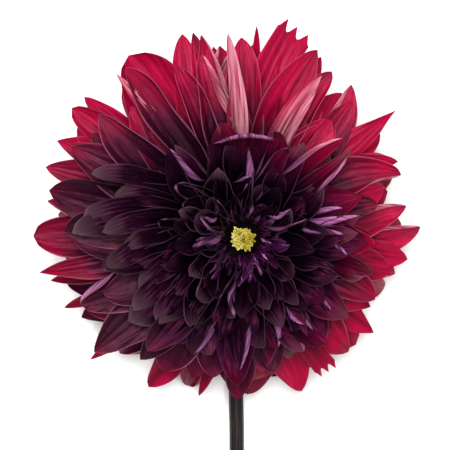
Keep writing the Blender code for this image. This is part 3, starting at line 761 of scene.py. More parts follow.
def long_petals():
    """The long petals at the front of the rim, and the slim stray ones."""
    petals = []
    for azimuth, reach, width, sweep, level, finish in LONG_PETALS:
        azimuth = math.radians(azimuth - SWEEP_SHARE * sweep)
        root = 13.4, -5.0 - 0.6 * level
        leans = 68.0 + 5.0 * level, 98.0 + 6.0 * level
        length = length_to_reach(azimuth, reach, root, leans)
        more = {"cup": 0.55, "sweep": math.radians(sweep), **FINISHES[finish]}
        petals.append(petal_of(azimuth, root, leans, length, width, **more))
    for azimuth, reach in SLIM_PETALS:
        azimuth = math.radians(azimuth)
        root, leans = (12.6, -8.0), (90.0, 118.0)
        length = length_to_reach(azimuth, reach, root, leans)
        petals.append(petal_of(azimuth, root, leans, length, width=7.0, cup=0.8, shade=0.15))
    return petals


def dark_petals(count, draw, first_turn, shorter):
    """The dark cupped petals between the eye and the crimson ones, in the same kind of spiral."""
    petals = []
    for index in range(count):
        place = index / (count - 1)
        azimuth = first_turn + index * GOLDEN_ANGLE + 0.07 * draw.standard_normal()
        root = blend(place, 8.4, 10.4, 11.8, 12.2), blend(place, -0.3, -1.2, -2.0, -2.5)
        lean_tip = blend(place, 48.0, 62.0, 78.0, 94.0) + 5.0 * draw.standard_normal()
        leans = blend(place, 24.0, 38.0, 50.0, 60.0), lean_tip
        length = blend(place, 19.0, 26.0, 33.0, 40.0) * (1.0 + 0.05 * draw.standard_normal())
        length *= shorter * (1.0 - 0.10 * math.cos(azimuth - RIM_REACH_AZIMUTH))
        width = blend(place, 8.0, 10.5, 12.5, 14.5)
        cups = {"cup_root": 0.7, "cup": blend(place, 1.3, 1.0, 0.8, 0.6)}
        cups["cup_tip"] = blend(place, 0.9, 0.7, 0.5, 0.4)
        turns = {"twist": 0.2 * draw.standard_normal(), "sweep": 0.15 * draw.standard_normal()}
        petals.append(petal_of(azimuth, root, leans, length, width, **cups, **turns))
    return petals


# Dark petals that stand out: azimuth, reach, width, sideways bend, leans at root and tip, and the rest.
FOLD_LEFT = {"fold": -2.3, "fold_start": 0.45, "wave": 0.12}
FOLD_RIGHT = {"fold": 2.3, "fold_start": 0.45, "wave": -0.12}
SPOON = {"tip_width": 0.8, "curl": -2.4, "tip_power": 0.4, "cup": 0.5, "ripple": 1.8 * MM, "shade": 0.12}
# SCALE: a dark body as painted shade in the hollows between the scales, and a high tone for the painted sheen
# on their tips.
SCALE = {"cup": 0.5, "cup_tip": -1.1, "curl": 1.1, "tip_power": 0.5, "tone": 1.0, "shade": -0.3}
DARK_STANDOUTS = (
    (92.0, 45.0, 25.0, 0.0, 52.0, 84.0, SPOON),
    (68.0, 40.0, 13.0, -20.0, 48.0, 70.0, {"roll": 1.6, "curl": -0.9, "shade": 0.12}),
    (49.0, 54.0, 11.0, -35.0, 56.0, 80.0, {"fold": -2.0, "shade": 0.16}),
    (40.5, 51.0, 11.0, -20.0, 54.0, 80.0, {"roll": 0.8, "shade": 0.1}),
    (43.5, 53.0, 10.0, 8.0, 50.0, 78.0, FOLD_RIGHT),
    (129.0, 45.0, 13.0, -25.0, 52.0, 80.0, FOLD_RIGHT),
    (321.0, 44.0, 12.0, 0.0, 52.0, 84.0, FOLD_LEFT),
    (298.0, 50.0, 13.0, 10.0, 56.0, 90.0, FOLD_LEFT),
    (287.0, 45.0, 13.0, 0.0, 54.0, 88.0, FOLD_LEFT),
    (306.0, 41.0, 12.0, 8.0, 50.0, 80.0, FOLD_RIGHT),
    (245.5, 49.0, 13.0, 10.0, 56.0, 90.0, FOLD_LEFT),
    (237.5, 38.5, 11.0, 0.0, 48.0, 78.0, {"roll": 1.2, "roll_skew": -0.6}),
    (221.5, 36.8, 8.0, 45.0, 46.0, 76.0, SCALE),
    (211.5, 51.5, 8.5, 40.0, 54.0, 84.0, SCALE),
    (203.0, 45.0, 9.5, 45.0, 52.0, 80.0, SCALE),
    (223.5, 47.7, 10.0, 30.0, 52.0, 80.0, SCALE),
    (233.5, 39.0, 8.0, 25.0, 48.0, 76.0, SCALE),
    (156.0, 66.0, 7.0, 60.0, 60.0, 90.0, SCALE),
    (175.5, 56.0, 8.5, 60.0, 56.0, 84.0, SCALE),
    (171.0, 64.5, 8.0, 60.0, 60.0, 90.0, SCALE),
    (177.0, 68.5, 10.0, 55.0, 62.0, 92.0, SCALE),
    (188.0, 55.0, 13.0, 0.0, 58.0, 88.0, {"tip_power": 0.55}),
    (215.0, 57.0, 14.0, 0.0, 60.0, 92.0, SCALE),
    (228.0, 57.0, 14.0, 0.0, 60.0, 92.0, {"shade": 0.06}),
    (183.0, 48.0, 8.0, 60.0, 52.0, 80.0, SCALE),
    (191.0, 57.0, 8.5, 60.0, 56.0, 84.0, SCALE),
    (161.0, 54.0, 8.5, 60.0, 58.0, 86.0, SCALE),
    (340.0, 40.0, 12.0, 0.0, 50.0, 80.0, FOLD_RIGHT),
    (5.0, 44.0, 13.0, 0.0, 50.0, 82.0, {"roll": 1.2, "roll_skew": -0.6}),
    (20.0, 40.0, 12.0, 0.0, 48.0, 78.0, FOLD_LEFT),
)


def dark_standouts():
    """The dark petals placed one by one."""
    petals = []
    root = 11.6, -1.8
    for azimuth, reach, width, sweep, lean_root, lean_tip, more in DARK_STANDOUTS:
        azimuth = math.radians(azimuth - SWEEP_SHARE * sweep)
        leans = lean_root, lean_tip
        length = length_to_reach(azimuth, reach, root, leans)
        more = {"cup_root": 0.7, "cup": 0.7, "cup_tip": 0.5, "sweep": math.radians(sweep), **more}
        petals.append(petal_of(azimuth, root, leans, length, width, **more))
    return petals


def young_petals(count, draw, first_turn, longest):
    """The small curled petals round the eye."""
    petals = []
    for index in range(count):
        place = index / (count - 1)
        azimuth = first_turn + index * GOLDEN_ANGLE
        root = blend(place, 7.0, 8.0), -0.2
        leans = blend(place, 16.0, 24.0), blend(place, 42.0, 66.0) + 8.0 * draw.standard_normal()
        length, width = blend(place, 7.0, longest), blend(place, 3.4, 5.0)
        more = {"cup_root": 0.9, "cup": 1.1, "cup_tip": 0.7}
        # Painted shade: young petals opposite the lit side are darkened, as in the shadow of the hollow round
        # the eye.
        more["heart"] = 0.45 + 0.4 * math.cos(azimuth - YOUNG_PAINTED_LIGHT_SIDE)
        petals.append(petal_of(azimuth, root, leans, length, width, **more))
    return petals


def bracts():
    """The leafy green bracts, turned back from the cup."""
    petals = []
    for index in range(BRACTS):
        azimuth = STEM_AZIMUTH + math.tau * (index + 0.5) / BRACTS
        more = {"clearance": 6.0 * MM, "shade": 0.3}
        petals.append(petal_of(azimuth, (8.6, -13.4), (118.0, 158.0), length=16.0, width=7.0, **more))
    return petals


def disc_florets(draw):
    """The florets of the eye: short blades rolled into tubes, in a spiral, each with a tone of its own and a
    painted highlight on the eye's lit side.
    """
    florets = []
    for index in range(FLORETS):
        azimuth = index * GOLDEN_ANGLE
        share = math.sqrt((index + 0.5) / FLORETS)
        share *= 0.92 + 0.16 * math.cos(azimuth - EYE_PAINTED_LIGHT_SIDE)
        root = 0.3 + 3.2 * share, 2.9 - 1.6 * share * share
        leans = 6.0 + 26.0 * share, 16.0 + 40.0 * share + 14.0 * draw.standard_normal()
        length, width = 1.2 + 1.8 * draw.random(), 1.3 + 0.7 * draw.random()
        more = {"cup_root": 2.4, "cup": 2.2, "cup_tip": 1.2, "ripple": 0.0}
        florets.append(petal_of(azimuth, root, leans, length, width, **more))
    florets = vary(florets, draw, wave=0.1)
    # Painted highlight: each floret's tone is paler towards the eye's lit side, with a random part of its
    # own.
    for floret in florets:
        tone = 0.5 + 0.4 * math.cos(floret["azimuth"] - EYE_PAINTED_LIGHT_SIDE)
        floret["tone"] = tone + 0.2 * draw.standard_normal()
    return florets


def vary(petals, draw, folded=0.0, spooned=0.0, curl=0.0, wave=0.06, shade=0.05, bend=0.0, wider=1.0):
    """Differences from petal to petal, on top of what each has.

    A share of them, folded, have one edge folded over, and a share, spooned, a domed tip turned down.
    """
    for petal in petals:
        petal["cup"] *= 0.6 + 0.8 * draw.random()
        petal["ragged"] *= 0.5 + 1.5 * draw.random()
        petal["tone"] = max(draw.random(), petal["tone"])
        petal["wave"] += wave * draw.standard_normal()
        petal["wave_start"] = draw.random()
        petal["ripple"] *= 0.6 + 1.2 * draw.random()
        petal["shade"] += shade * draw.standard_normal()
        petal["tip_power"] *= 0.85 + 0.4 * draw.random()
        petal["curl"] += curl * draw.standard_normal()
        petal["twist"] += bend * draw.standard_normal()
        petal["sweep"] += bend * draw.standard_normal()
        petal["half_width"] *= wider * (0.85 + 0.3 * draw.random())
        if draw.random() < folded:
            petal["fold"] = math.copysign(1.6 + 0.9 * draw.random(), draw.standard_normal())
            petal["fold_start"] = 0.3 + 0.35 * draw.random()
        elif draw.random() < spooned:
            petal["cup_tip"] = -0.9
            petal["curl"] += 0.5
    return petals


def set_inputs(tree, node, inputs):
    """Gives a node's inputs their values: each is a number, a colour, or the socket to link to it."""
    for key, value in inputs.items():
        if isinstance(value, bpy.types.NodeSocket):
            tree.links.new(value, node.inputs[key])
        else:
            node.inputs[key].default_value = value


def add_node(tree, kind, inputs, out=0, stops=(), **settings):
    """Adds one node with its settings, its inputs and the stops of its colour ramp, and gives its output."""
    node = tree.nodes.new(kind)
    for key, value in settings.items():
        setattr(node, key, value)
    set_inputs(tree, node, inputs)
    if stops:
        elements = node.color_ramp.elements
        while len(elements) < len(stops):
            elements.new(0.5)
        for element, (place, shade) in zip(elements, stops):
            element.position = place
            element.color = (*shade, 1.0)
    return node.outputs[out]


def new_material(name):
    """An empty material with its tree and its shader."""
    material = bpy.data.materials.new(name)
    material.use_nodes = True
    tree = material.node_tree
    return material, tree, tree.nodes["Principled BSDF"]


# Patterns over a skin: their width across it, their length along it, and how far they shift from petal to
# petal. Veins are drawn no finer than shows in a view of the whole bloom.
VEINS = (0.8 * MM, 22.2 * MM, 60.0)
STREAKS = (2.38 * MM, 38.5 * MM, 90.0)  # broader than veins, and between them
PATCHES = (3.85 * MM, 8.33 * MM, 80.0)  # of deeper and paler colour
STALK_LINES = (0.5 * MM, 16.7 * MM, 1.0)
STALK_PATCHES = (3.33 * MM, 12.5 * MM, 1.0)

# Grains from side to side of a whole piece, for skins that no pattern runs along.
BED_GRAINS = 900.0
EYE_GRAINS = 1400.0
FLOOR_GRAINS = 600.0

# How far patches and a petal's own tone move its colour, between the heart's at 0 and the rim's at 1.
PATCH_PART = 0.44
TONE_PART = 0.12

# A node that mixes colours, and the numbers of its inputs for the colour at a share of 0 and that at 1.
COLOUR_MIX = {"kind": "ShaderNodeMix", "out": 2, "data_type": "RGBA"}
FROM = 6
TO = 7


def skin_pattern(tree, lie, pattern, **more):
    """Noise of a pattern's width and length over a skin."""
    width, length, differing = pattern
    rates = (1.0 / width, 1.0 / length, differing)
    place = add_node(tree, "ShaderNodeVectorMath", {0: lie, 1: rates}, operation="MULTIPLY")
    return add_node(tree, "ShaderNodeTexNoise", {"Vector": place, "Scale": 1.0, **more})


def petal_material(name, face_stops, back_stops, edge, tip, roughness, gloss, tint, lit=0.7):
    """The skin of a petal, coloured by how near the heart a point lies, with veins that run along it.

    edge and tip are each a colour and its strongest share, and tip starts at its third number. On the dark
    and young skins the tip is a painted sheen or highlight, and the dark skin's edge is partly its own paler
    rim and partly a painted highlight. The skin is dark at the base, as painted shade, and in full light from
    lit on, as a share of the petal's length.
    """
    material, tree, shader = new_material(name)
    edge_colour, edge_share = edge
    tip_colour, tip_share, tip_start = tip
    heart, along, across, tone, silver, reverse = (
        add_node(tree, "ShaderNodeAttribute", {}, "Fac", attribute_name=key)
        for key in ("heart", "along", "across", "tone", "silver", "reverse")
    )
    lie = add_node(tree, "ShaderNodeAttribute", {}, "Vector", attribute_name="lie")
    veins = skin_pattern(tree, lie, VEINS, Detail=3.0, Roughness=0.55)
    streaks = skin_pattern(tree, lie, STREAKS, Detail=2.0)
    patches = skin_pattern(tree, lie, PATCHES, Detail=2.0)
    veins = add_node(tree, "ShaderNodeMath", {0: veins, 1: streaks}, operation="ADD")
    veins = add_node(tree, "ShaderNodeMath", {0: veins, 1: 0.5}, operation="MULTIPLY")
    outward = add_node(tree, "ShaderNodeMath", {0: across}, operation="ABSOLUTE")

    # What each follows, the two ends of that, and its own value at the one end and the other.
    deeper, vein_light, streaked, tipped, edged, base_light, rough = (
        add_node(tree, "ShaderNodeMapRange", dict(enumerate(change)))
        for change in (
            # At the base the colour is partly the petal's own deeper colour and partly painted shade.
            (along, 0.0, 0.75, -0.22, 0.0),  # at its base a petal's colour is nearer to the heart's
            (veins, 0.38, 0.62, 0.62, 1.3),  # veins are darker and paler lines on the face
            (veins, 0.42, 0.58, 0.1, 1.0),  # and a back shows its own colour in streaks
            (along, tip_start, 1.0, 0.0, tip_share),
            (outward, 0.92, 1.0, 0.0, edge_share),
            (along, 0.1, lit, 0.16, 1.0),  # bases lie in the dark between their neighbours
            (veins, 0.3, 0.7, roughness + 0.1, roughness - 0.06),
        )
    )
    place = -PATCH_PART / 2.0  # so that patches move the colour both ways
    for part, weight in ((patches, PATCH_PART), (tone, TONE_PART), (heart, 1.0), (deeper, 1.0)):
        place = add_node(tree, "ShaderNodeMath", {0: part, 1: weight, 2: place}, operation="MULTIPLY_ADD")
    face = add_node(tree, "ShaderNodeValToRGB", {"Fac": place}, stops=face_stops)
    back = add_node(tree, "ShaderNodeValToRGB", {"Fac": place}, stops=back_stops)
    face = add_node(tree, "ShaderNodeVectorMath", {0: face, "Scale": vein_light}, operation="SCALE")
    back = add_node(tree, inputs={0: streaked, FROM: face, TO: back}, **COLOUR_MIX)

    # Only some petals, those of a high tone, have a tip and edges of another colour: a painted sheen or
    # highlight on the dark and young skins, partly so at the dark edges, and the petals' own colour on the
    # others.
    few = add_node(tree, "ShaderNodeMath", {0: tone, 1: 3.0}, operation="POWER")
    tipped = add_node(tree, "ShaderNodeMath", {0: tipped, 1: few}, operation="MULTIPLY")
    edged = add_node(tree, "ShaderNodeMath", {0: edged, 1: tone}, operation="MULTIPLY")
    face = add_node(tree, inputs={0: tipped, FROM: face, TO: (*tip_colour, 1.0)}, **COLOUR_MIX)
    turned = add_node(tree, "ShaderNodeMath", {0: reverse, 1: silver}, operation="SUBTRACT")
    turned = add_node(tree, "ShaderNodeMath", {0: turned}, operation="ABSOLUTE")
    skin = add_node(tree, inputs={0: turned, FROM: face, TO: back}, **COLOUR_MIX)
    skin = add_node(tree, inputs={0: edged, FROM: skin, TO: (*edge_colour, 1.0)}, **COLOUR_MIX)
    skin = add_node(tree, "ShaderNodeVectorMath", {0: skin, "Scale": base_light}, operation="SCALE")

    # The veins stand out a little, and the blade is softly crumpled between them.
    height = add_node(tree, "ShaderNodeMath", {0: patches, 1: 1.6, 2: veins}, operation="MULTIPLY_ADD")
    normal = add_node(tree, "ShaderNodeBump", {"Height": height, "Strength": 0.9, "Distance": 0.5 * MM})
    set_inputs(tree, shader, {"Base Color": skin, "Roughness": rough, "Normal": normal})
    set_inputs(tree, shader, {"Specular IOR Level": gloss, "Specular Tint": (*tint, 1.0)})
    return material


def crimson_petal():
    """Ray floret of the rim: velvety skin over a juicy blade, brighter towards its tip, partly in its own
    colour and partly as a painted glow.
    """
    hues = bpy.context.scene.dahlia_colours
    return petal_material(
        "ray_floret_velvet_crimson",
        ((0.0, hues.heart), (0.36, hues.maroon), (0.55, hues.wine), (0.78, hues.crimson), (1.0, hues.hot)),
        ((0.1, hues.lilac), (0.5, hues.silver), (1.0, hues.silver)),
        edge=(linear("b4607c"), 0.6),
        tip=(linear("4f0923"), 0.8, 0.9),
        roughness=0.44,
        gloss=0.22,
        tint=linear("ff9db8"),
    )


def dark_petal():
    """Ray floret of the heart: satin purple-black skin that shines lilac where it rolls, partly by a painted
    highlight, with a painted grey-mauve sheen on some tips.
    """
    hues = bpy.context.scene.dahlia_colours
    return petal_material(
        "ray_floret_satin_purple",
        # The face ramp starts at the painted shade of the hollow round the eye.
        ((0.0, hues.pit_shade), (0.2, hues.heart), (0.42, hues.maroon), (0.72, hues.wine), (1.0, hues.crimson)),
        # Lilac backs: partly their own colour and partly a painted highlight on rolled edges.
        ((0.0, linear("86507e")), (0.55, hues.lilac), (1.0, hues.silver)),
        # Paler edges: partly the petals' own rim colour and partly a painted highlight.
        edge=(linear("74506a"), 0.3),
        # Painted sheen: grey-mauve tips on petals of a high tone.
        tip=(linear("50363f"), 0.9, 0.78),
        roughness=0.34,
        gloss=0.17,
        tint=linear("c85494"),
        lit=0.95,
    )


def young_petal():
    """Young ray floret: glossy magenta-purple, with lilac edges and, on some, a painted lilac highlight at
    the tip.
    """
    hues = bpy.context.scene.dahlia_colours
    return petal_material(
        "ray_floret_young_magenta",
        # The face ramp starts at the painted shade of the hollow round the eye.
        ((0.0, hues.pit_shade), (0.35, hues.heart), (0.8, hues.magenta), (1.0, hues.magenta)),
        ((0.0, hues.heart), (0.6, linear("5c2c5a")), (1.0, hues.lilac)),
        edge=(linear("7a4171"), 0.35),
        # Painted highlight: lilac tips on petals of a high tone.
        tip=(linear("6d3566"), 0.4, 0.65),
        roughness=0.26,
        gloss=0.45,
        tint=linear("e8a8f0"),
    )


def bract_green():
    """Bract and cup: fleshy green plant skin with a waxy bloom and faint veins."""
    hues = bpy.context.scene.dahlia_colours
    dark = tuple(0.45 * part for part in hues.bract)
    return petal_material(
        "bract_fleshy_green",
        ((0.0, dark), (0.6, hues.bract), (1.0, hues.bract)),
        ((0.0, hues.bract), (1.0, hues.bract)),
        edge=(linear("5a3a34"), 0.6),
        tip=(linear("4a3830"), 0.5, 0.85),
        roughness=0.42,
        gloss=0.4,
        tint=linear("e8f0d8"),
    )


def bed_painted_shade():
    """Receptacle between the petals: nearly black as painted shade in the gaps, matt by a grain too fine to
    tell apart.
    """
    material, tree, shader = new_material("receptacle_painted_shade")
    hues = bpy.context.scene.dahlia_colours
    deep = tuple(0.4 * part for part in hues.pit_shade)
    grain = add_node(tree, "ShaderNodeTexNoise", {"Scale": BED_GRAINS, "Detail": 3.0})
    skin = add_node(tree, "ShaderNodeValToRGB", {"Fac": grain}, stops=((0.3, deep), (0.8, hues.pit_shade)))
    normal = add_node(tree, "ShaderNodeBump", {"Height": grain, "Strength": 0.6, "Distance": 0.4 * MM})
    set_inputs(tree, shader, {"Base Color": skin, "Normal": normal})
    set_inputs(tree, shader, {"Roughness": 0.8, "Specular IOR Level": 0.05})
    return material


def disc_yellow():
    """Disc floret: soft waxy tube, olive-gold below and darkening at its base as painted shade between the
    florets, pale lemon at its lips, and paler on one side of the eye as a painted highlight.
    """
    material, tree, shader = new_material("disc_floret_waxy_yellow")
    hues = bpy.context.scene.dahlia_colours
    dark = tuple(0.12 * part for part in hues.yellow)
    along, tone = (
        add_node(tree, "ShaderNodeAttribute", {}, "Fac", attribute_name=key) for key in ("along", "tone")
    )
    grain = add_node(tree, "ShaderNodeTexNoise", {"Scale": EYE_GRAINS, "Detail": 2.0})
    # The tone carries a painted highlight on the eye's lit side.
    place = -0.15
    for part, weight in ((tone, 0.45), (grain, 0.2), (along, 0.7)):
        place = add_node(tree, "ShaderNodeMath", {0: part, 1: weight, 2: place}, operation="MULTIPLY_ADD")
    # Painted shade: the florets darken towards their bases, between one another.
    stops = ((0.15, dark), (0.6, hues.yellow), (1.0, hues.pale_yellow))
    skin = add_node(tree, "ShaderNodeValToRGB", {"Fac": place}, stops=stops)
    glow = {"Subsurface Weight": 0.15, "Subsurface Radius": (MM, MM, 0.4 * MM)}
    set_inputs(tree, shader, {"Base Color": skin, "Roughness": 0.42, **glow})
    return material


def stalk_skin():
    """Fresh stalk: dark green-brown skin, ribbed along its length, with a dull shine."""
    material, tree, shader = new_material("stalk_ribbed_skin")
    hues = bpy.context.scene.dahlia_colours
    lie = add_node(tree, "ShaderNodeAttribute", {}, "Vector", attribute_name="lie")
    lines = skin_pattern(tree, lie, STALK_LINES, Detail=3.0)
    patches = skin_pattern(tree, lie, STALK_PATCHES, Detail=2.0)
    place = 0.0
    for part, weight in ((lines, 0.5), (patches, 0.6)):
        place = add_node(tree, "ShaderNodeMath", {0: part, 1: weight, 2: place}, operation="MULTIPLY_ADD")
    stops = ((0.35, linear("0a0706")), (0.55, hues.stalk), (0.8, linear("2c241f")))
    skin = add_node(tree, "ShaderNodeValToRGB", {"Fac": place}, stops=stops)
    normal = add_node(tree, "ShaderNodeBump", {"Height": lines, "Strength": 0.5, "Distance": 0.25 * MM})
    set_inputs(tree, shader, {"Base Color": skin, "Normal": normal})
    set_inputs(tree, shader, {"Roughness": 0.45, "Specular IOR Level": 0.15})
    return material


def pale_floor():
    """Floor: plain matt pale paper, with a mottle too faint to see but in the closest view."""
    material, tree, shader = new_material("floor_matt_paper")
    pale = bpy.context.scene.dahlia_stage.floor
    low = tuple(0.985 * part for part in pale)
    mottle = add_node(tree, "ShaderNodeTexNoise", {"Scale": FLOOR_GRAINS, "Detail": 2.0})
    skin = add_node(tree, "ShaderNodeValToRGB", {"Fac": mottle}, stops=((0.3, low), (0.7, pale)))
    set_inputs(tree, shader, {"Base Color": skin, "Roughness": 0.9, "Specular IOR Level": 0.2})
    return material


# Outlines of the turned pieces, as radii and heights in the bloom's frame. In the middle they are open by
# PINHOLE alone. The cup's skin has half of its way round and its length given too, for its veins.
PINHOLE = 0.2 * MM
CUP_HALF_ROUND = 20.0 * MM
CUP_SKIN_LENGTH = 12.0 * MM
CUP_OUTLINE = (
    (PINHOLE, -LOWER_DEPTH - GAP),
    (CUP_RADIUS - 0.4 * MM, -LOWER_DEPTH - GAP),
    (CUP_RADIUS, -LOWER_DEPTH - 0.9 * MM),
    (CUP_RADIUS - 0.6 * MM, -LOWER_DEPTH - 1.8 * MM),
    (7.6 * MM, -LOWER_DEPTH - 3.2 * MM),
    (STEM_RADIUS + STEM_FLARE + 1.2 * MM, -CUP_DEPTH),
    (PINHOLE, -CUP_DEPTH),
)
BED_OUTLINE = (
    (PINHOLE, 0.0),
    (SEAT_RADIUS, 0.0),
    (10.0 * MM, -1.0 * MM),
    (UPPER_RADIUS - 0.3 * MM, -2.4 * MM),
    (UPPER_RADIUS, -UPPER_DEPTH),
    (LOWER_RADIUS, -6.5 * MM),
    (LOWER_RADIUS - 0.8 * MM, -9.0 * MM),
    (CUP_RADIUS, -LOWER_DEPTH),
    (PINHOLE, -LOWER_DEPTH),
)
DOME_RADIUS = 4.0 * MM
DOME_OUTLINE = (
    (PINHOLE / 2.0, 2.7 * MM),
    (DOME_RADIUS * 0.5, 2.3 * MM),
    (DOME_RADIUS * 0.85, 1.6 * MM),
    (DOME_RADIUS, 0.9 * MM),
    (DOME_RADIUS, GAP),
)


def tube_faces(rings, sides):
    """The four-sided faces between the rings of a tube."""
    step = np.arange(sides)
    other = (step + 1) % sides
    band = np.stack([step, step + sides, other + sides, other], axis=1)
    return np.concatenate([band + ring * sides for ring in range(rings - 1)])


def turned_points(profile, sides):
    """Points and faces of a solid of revolution about the bloom's axis, from its outline."""
    angles = np.linspace(0.0, math.tau, sides, endpoint=False)
    rings = [
        np.stack([radius * np.cos(angles), radius * np.sin(angles), np.full(sides, height)], axis=1)
        for radius, height in profile
    ]
    return np.concatenate(rings) @ FACE_AXES.T + EYE, tube_faces(len(profile), sides)


def ease(line, times):
    """Softens the bends of a line of points, whose ends stay."""
    for _ in range(times):
        line[1:-1] = (line[:-2] + 2.0 * line[1:-1] + line[2:]) / 4.0


def stem_line():
    """The middles of the stem's rings, in even steps, and how far along the stem each lies."""
    path = STEM_PATH.copy()
    ease(path, STEM_EASING)
    gone = np.concatenate([[0.0], np.cumsum(np.linalg.norm(np.diff(path, axis=0), axis=1))])
    along = np.linspace(0.0, gone[-1], STEM_RINGS)
    line = np.stack([np.interp(along, gone, path[:, axis]) for axis in range(3)], axis=1)
    ease(line, LINE_EASING)
    return line, along


class DAHLIA_OT_stem(bpy.types.Operator):
    """The stalk: a ribbed tube along its path, wider under the cup, with its hollow cut end"""

    bl_idname = "dahlia.stem"
    bl_label = "Stem"

    def execute(self, context):
        line, along = stem_line()
        ahead = unit(np.gradient(line, axis=0))
        across = unit(np.cross(ahead, np.array((1.0, 0.0, 0.0))))
        beside = np.cross(across, ahead)
        angles = np.linspace(0.0, math.tau, STEM_SIDES, endpoint=False)
        radius = STEM_RADIUS - STEM_SLIMMER
        radius = radius + STEM_FLARE * np.clip(1.0 - along / STEM_FLARE_LENGTH, 0.0, 1.0) ** 2
        for height, length, start in STEM_SWELLS:
            radius = radius + height * np.sin(along / length + start)
        radius = radius[:, None] + STEM_RIB * np.cos(STEM_RIBS * angles)
        tube = (
            line[:, None, :]
            + across[:, None, :] * (radius * np.cos(angles))[..., None]
            + beside[:, None, :] * (radius * np.sin(angles))[..., None]
        )
        tube[..., 2] = np.maximum(tube[..., 2], STEM_LOWEST)
        lie = np.zeros(tube.shape)
        lie[..., 0] = angles * STEM_RADIUS
        lie[..., 1] = along[:, None]

        # Both ends are closed by smaller rings: the cut one is hollow, and the top one hidden in the cup.
        cut_middle, top_middle = tube[-1].mean(axis=0), tube[0].mean(axis=0)
        cut_rings = [
            cut_middle + (tube[-1] - cut_middle) * share - ahead[-1] * depth for share, depth in CUT_END
        ]
        top_ring = top_middle + (tube[0] - top_middle) * TOP_SHARE
        points = np.concatenate([tube.reshape(-1, 3), *cut_rings, top_ring])
        lie = np.concatenate([lie.reshape(-1, 3), np.tile(lie[-1], (len(CUT_END), 1)), lie[0]])
        rings = STEM_RINGS + len(CUT_END)
        step = np.arange(STEM_SIDES)
        other = (step + 1) % STEM_SIDES
        cap = rings * STEM_SIDES
        cap_faces = np.stack([cap + step, step, other, cap + other], axis=1)
        faces = np.concatenate([tube_faces(rings, STEM_SIDES), cap_faces])
        dress(build_mesh("dahlia_stem", points, faces, {"lie": lie}), stalk_skin(), "stem", "stem")
        return {"FINISHED"}


class DAHLIA_OT_cup(bpy.types.Operator):
    """The green cup behind the petals, with its bracts turned back"""

    bl_idname = "dahlia.cup"
    bl_label = "Cup and bracts"

    def execute(self, context):
        green = bract_green()
        leaves = vary(bracts(), draws("bracts"), wave=0.05, shade=0.0)
        dress(draw_petals("dahlia_bracts", leaves, *BRACT_CELLS), green, "green_bract", "involucre")
        points, faces = turned_points(CUP_OUTLINE, TURNED_SIDES)
        along = np.repeat(np.linspace(0.3, 1.0, len(CUP_OUTLINE)), TURNED_SIDES)
        across = np.tile(np.linspace(-CUP_HALF_ROUND, CUP_HALF_ROUND, TURNED_SIDES), len(CUP_OUTLINE))
        plain = {"heart": 0.8, "across": 0.0, "tone": 0.5, "silver": 0.0, "reverse": 0.0}
        values = {key: np.full(len(points), value) for key, value in plain.items()}
        values["along"] = along
        values["lie"] = np.stack([across, along * CUP_SKIN_LENGTH, np.zeros(len(points))], axis=1)
        dress(build_mesh("dahlia_cup", points, faces, values), green, "green_bract", "involucre")
        return {"FINISHED"}


class DAHLIA_OT_crimson_petals(bpy.types.Operator):
    """The crimson petals: those that the bloom rests on, the rim and the long ones in front"""

    bl_idname = "dahlia.crimson_petals"
    bl_label = "Crimson petals"

    def execute(self, context):
        sizes = context.scene.dahlia_sizes
        feet = vary(foot_petals(), draws("feet"), wave=0.0, shade=0.04)
        feet += vary(back_petals(draws("backs")), draws("backs_varied"), bend=0.1)
        rim = rim_petals(RIM_PETALS, draws("rim"), first_turn=0.0, shorter=1.0)
        rim += rim_petals(sizes.more_rim, draws("more_rim"), first_turn=1.1, shorter=0.96)
        rim = vary(rim, draws("rim_varied"), folded=0.14, curl=0.35, bend=0.18, wider=1.05, shade=0.14)
        front = long_petals()
        front = vary(front, draws("long_varied"), folded=0.12, curl=0.12, shade=0.04, wave=0.1, bend=0.1)
        skin = crimson_petal()
        for name, petals, cells in (
            ("dahlia_foot_petals", feet, RIM_CELLS),
            ("dahlia_rim_petals", rim, RIM_CELLS),
            ("dahlia_long_petals", front, LONG_CELLS),
        ):
            dress(draw_petals(name, petals, *cells), skin, "crimson_petal", "outer_ray_florets")
        return {"FINISHED"}


class DAHLIA_OT_dark_petals(bpy.types.Operator):
    """The dark cupped petals of the heart, on the receptacle that carries them"""

    bl_idname = "dahlia.dark_petals"
    bl_label = "Dark petals"

    def execute(self, context):
        sizes = context.scene.dahlia_sizes
        dark = dark_petals(DARK_PETALS, draws("dark"), first_turn=0.8, shorter=1.0)
        dark += dark_petals(sizes.more_dark, draws("more_dark"), first_turn=1.9, shorter=1.04)
        more = {"folded": 0.2, "spooned": 0.4, "curl": 0.5, "bend": 0.5, "wave": 0.12}
        dark = vary(dark, draws("dark_varied"), wider=1.25, shade=0.07, **more)
        dark += vary(dark_standouts(), draws("standouts_varied"), curl=0.1)
        young = young_petals(YOUNG_PETALS, draws("young"), first_turn=0.3, longest=13.0)
        young += young_petals(sizes.more_young, draws("more_young"), first_turn=1.3, longest=17.0)
        young = vary(young, draws("young_varied"), folded=0.3, curl=0.6, bend=0.5)
        for piece, skin in (
            (draw_petals("dahlia_dark_petals", dark, *DARK_CELLS), dark_petal()),
            (draw_petals("dahlia_young_petals", young, *YOUNG_CELLS), young_petal()),
            (build_mesh("dahlia_receptacle", *turned_points(BED_OUTLINE, TURNED_SIDES)), bed_painted_shade()),
        ):
            dress(piece, skin, "dark_petal", "inner_ray_florets")
        return {"FINISHED"}


class DAHLIA_OT_eye(bpy.types.Operator):
    """The yellow-green eye: small tubular florets with lips, on a low dome"""

    bl_idname = "dahlia.eye"
    bl_label = "Eye"

    def execute(self, context):
        yellow = disc_yellow()
        florets = draw_petals("dahlia_disc_florets", disc_florets(draws("eye")), *FLORET_CELLS)
        dress(florets, yellow, "yellow_disc", "disc_florets")
        points, faces = turned_points(DOME_OUTLINE, DOME_SIDES)
        values = {"along": np.full(len(points), 0.2), "tone": np.full(len(points), 0.3)}
        dome = build_mesh("dahlia_disc_dome", points, faces, values)
        dress(dome, yellow, "yellow_disc", "disc_florets")
        return {"FINISHED"}


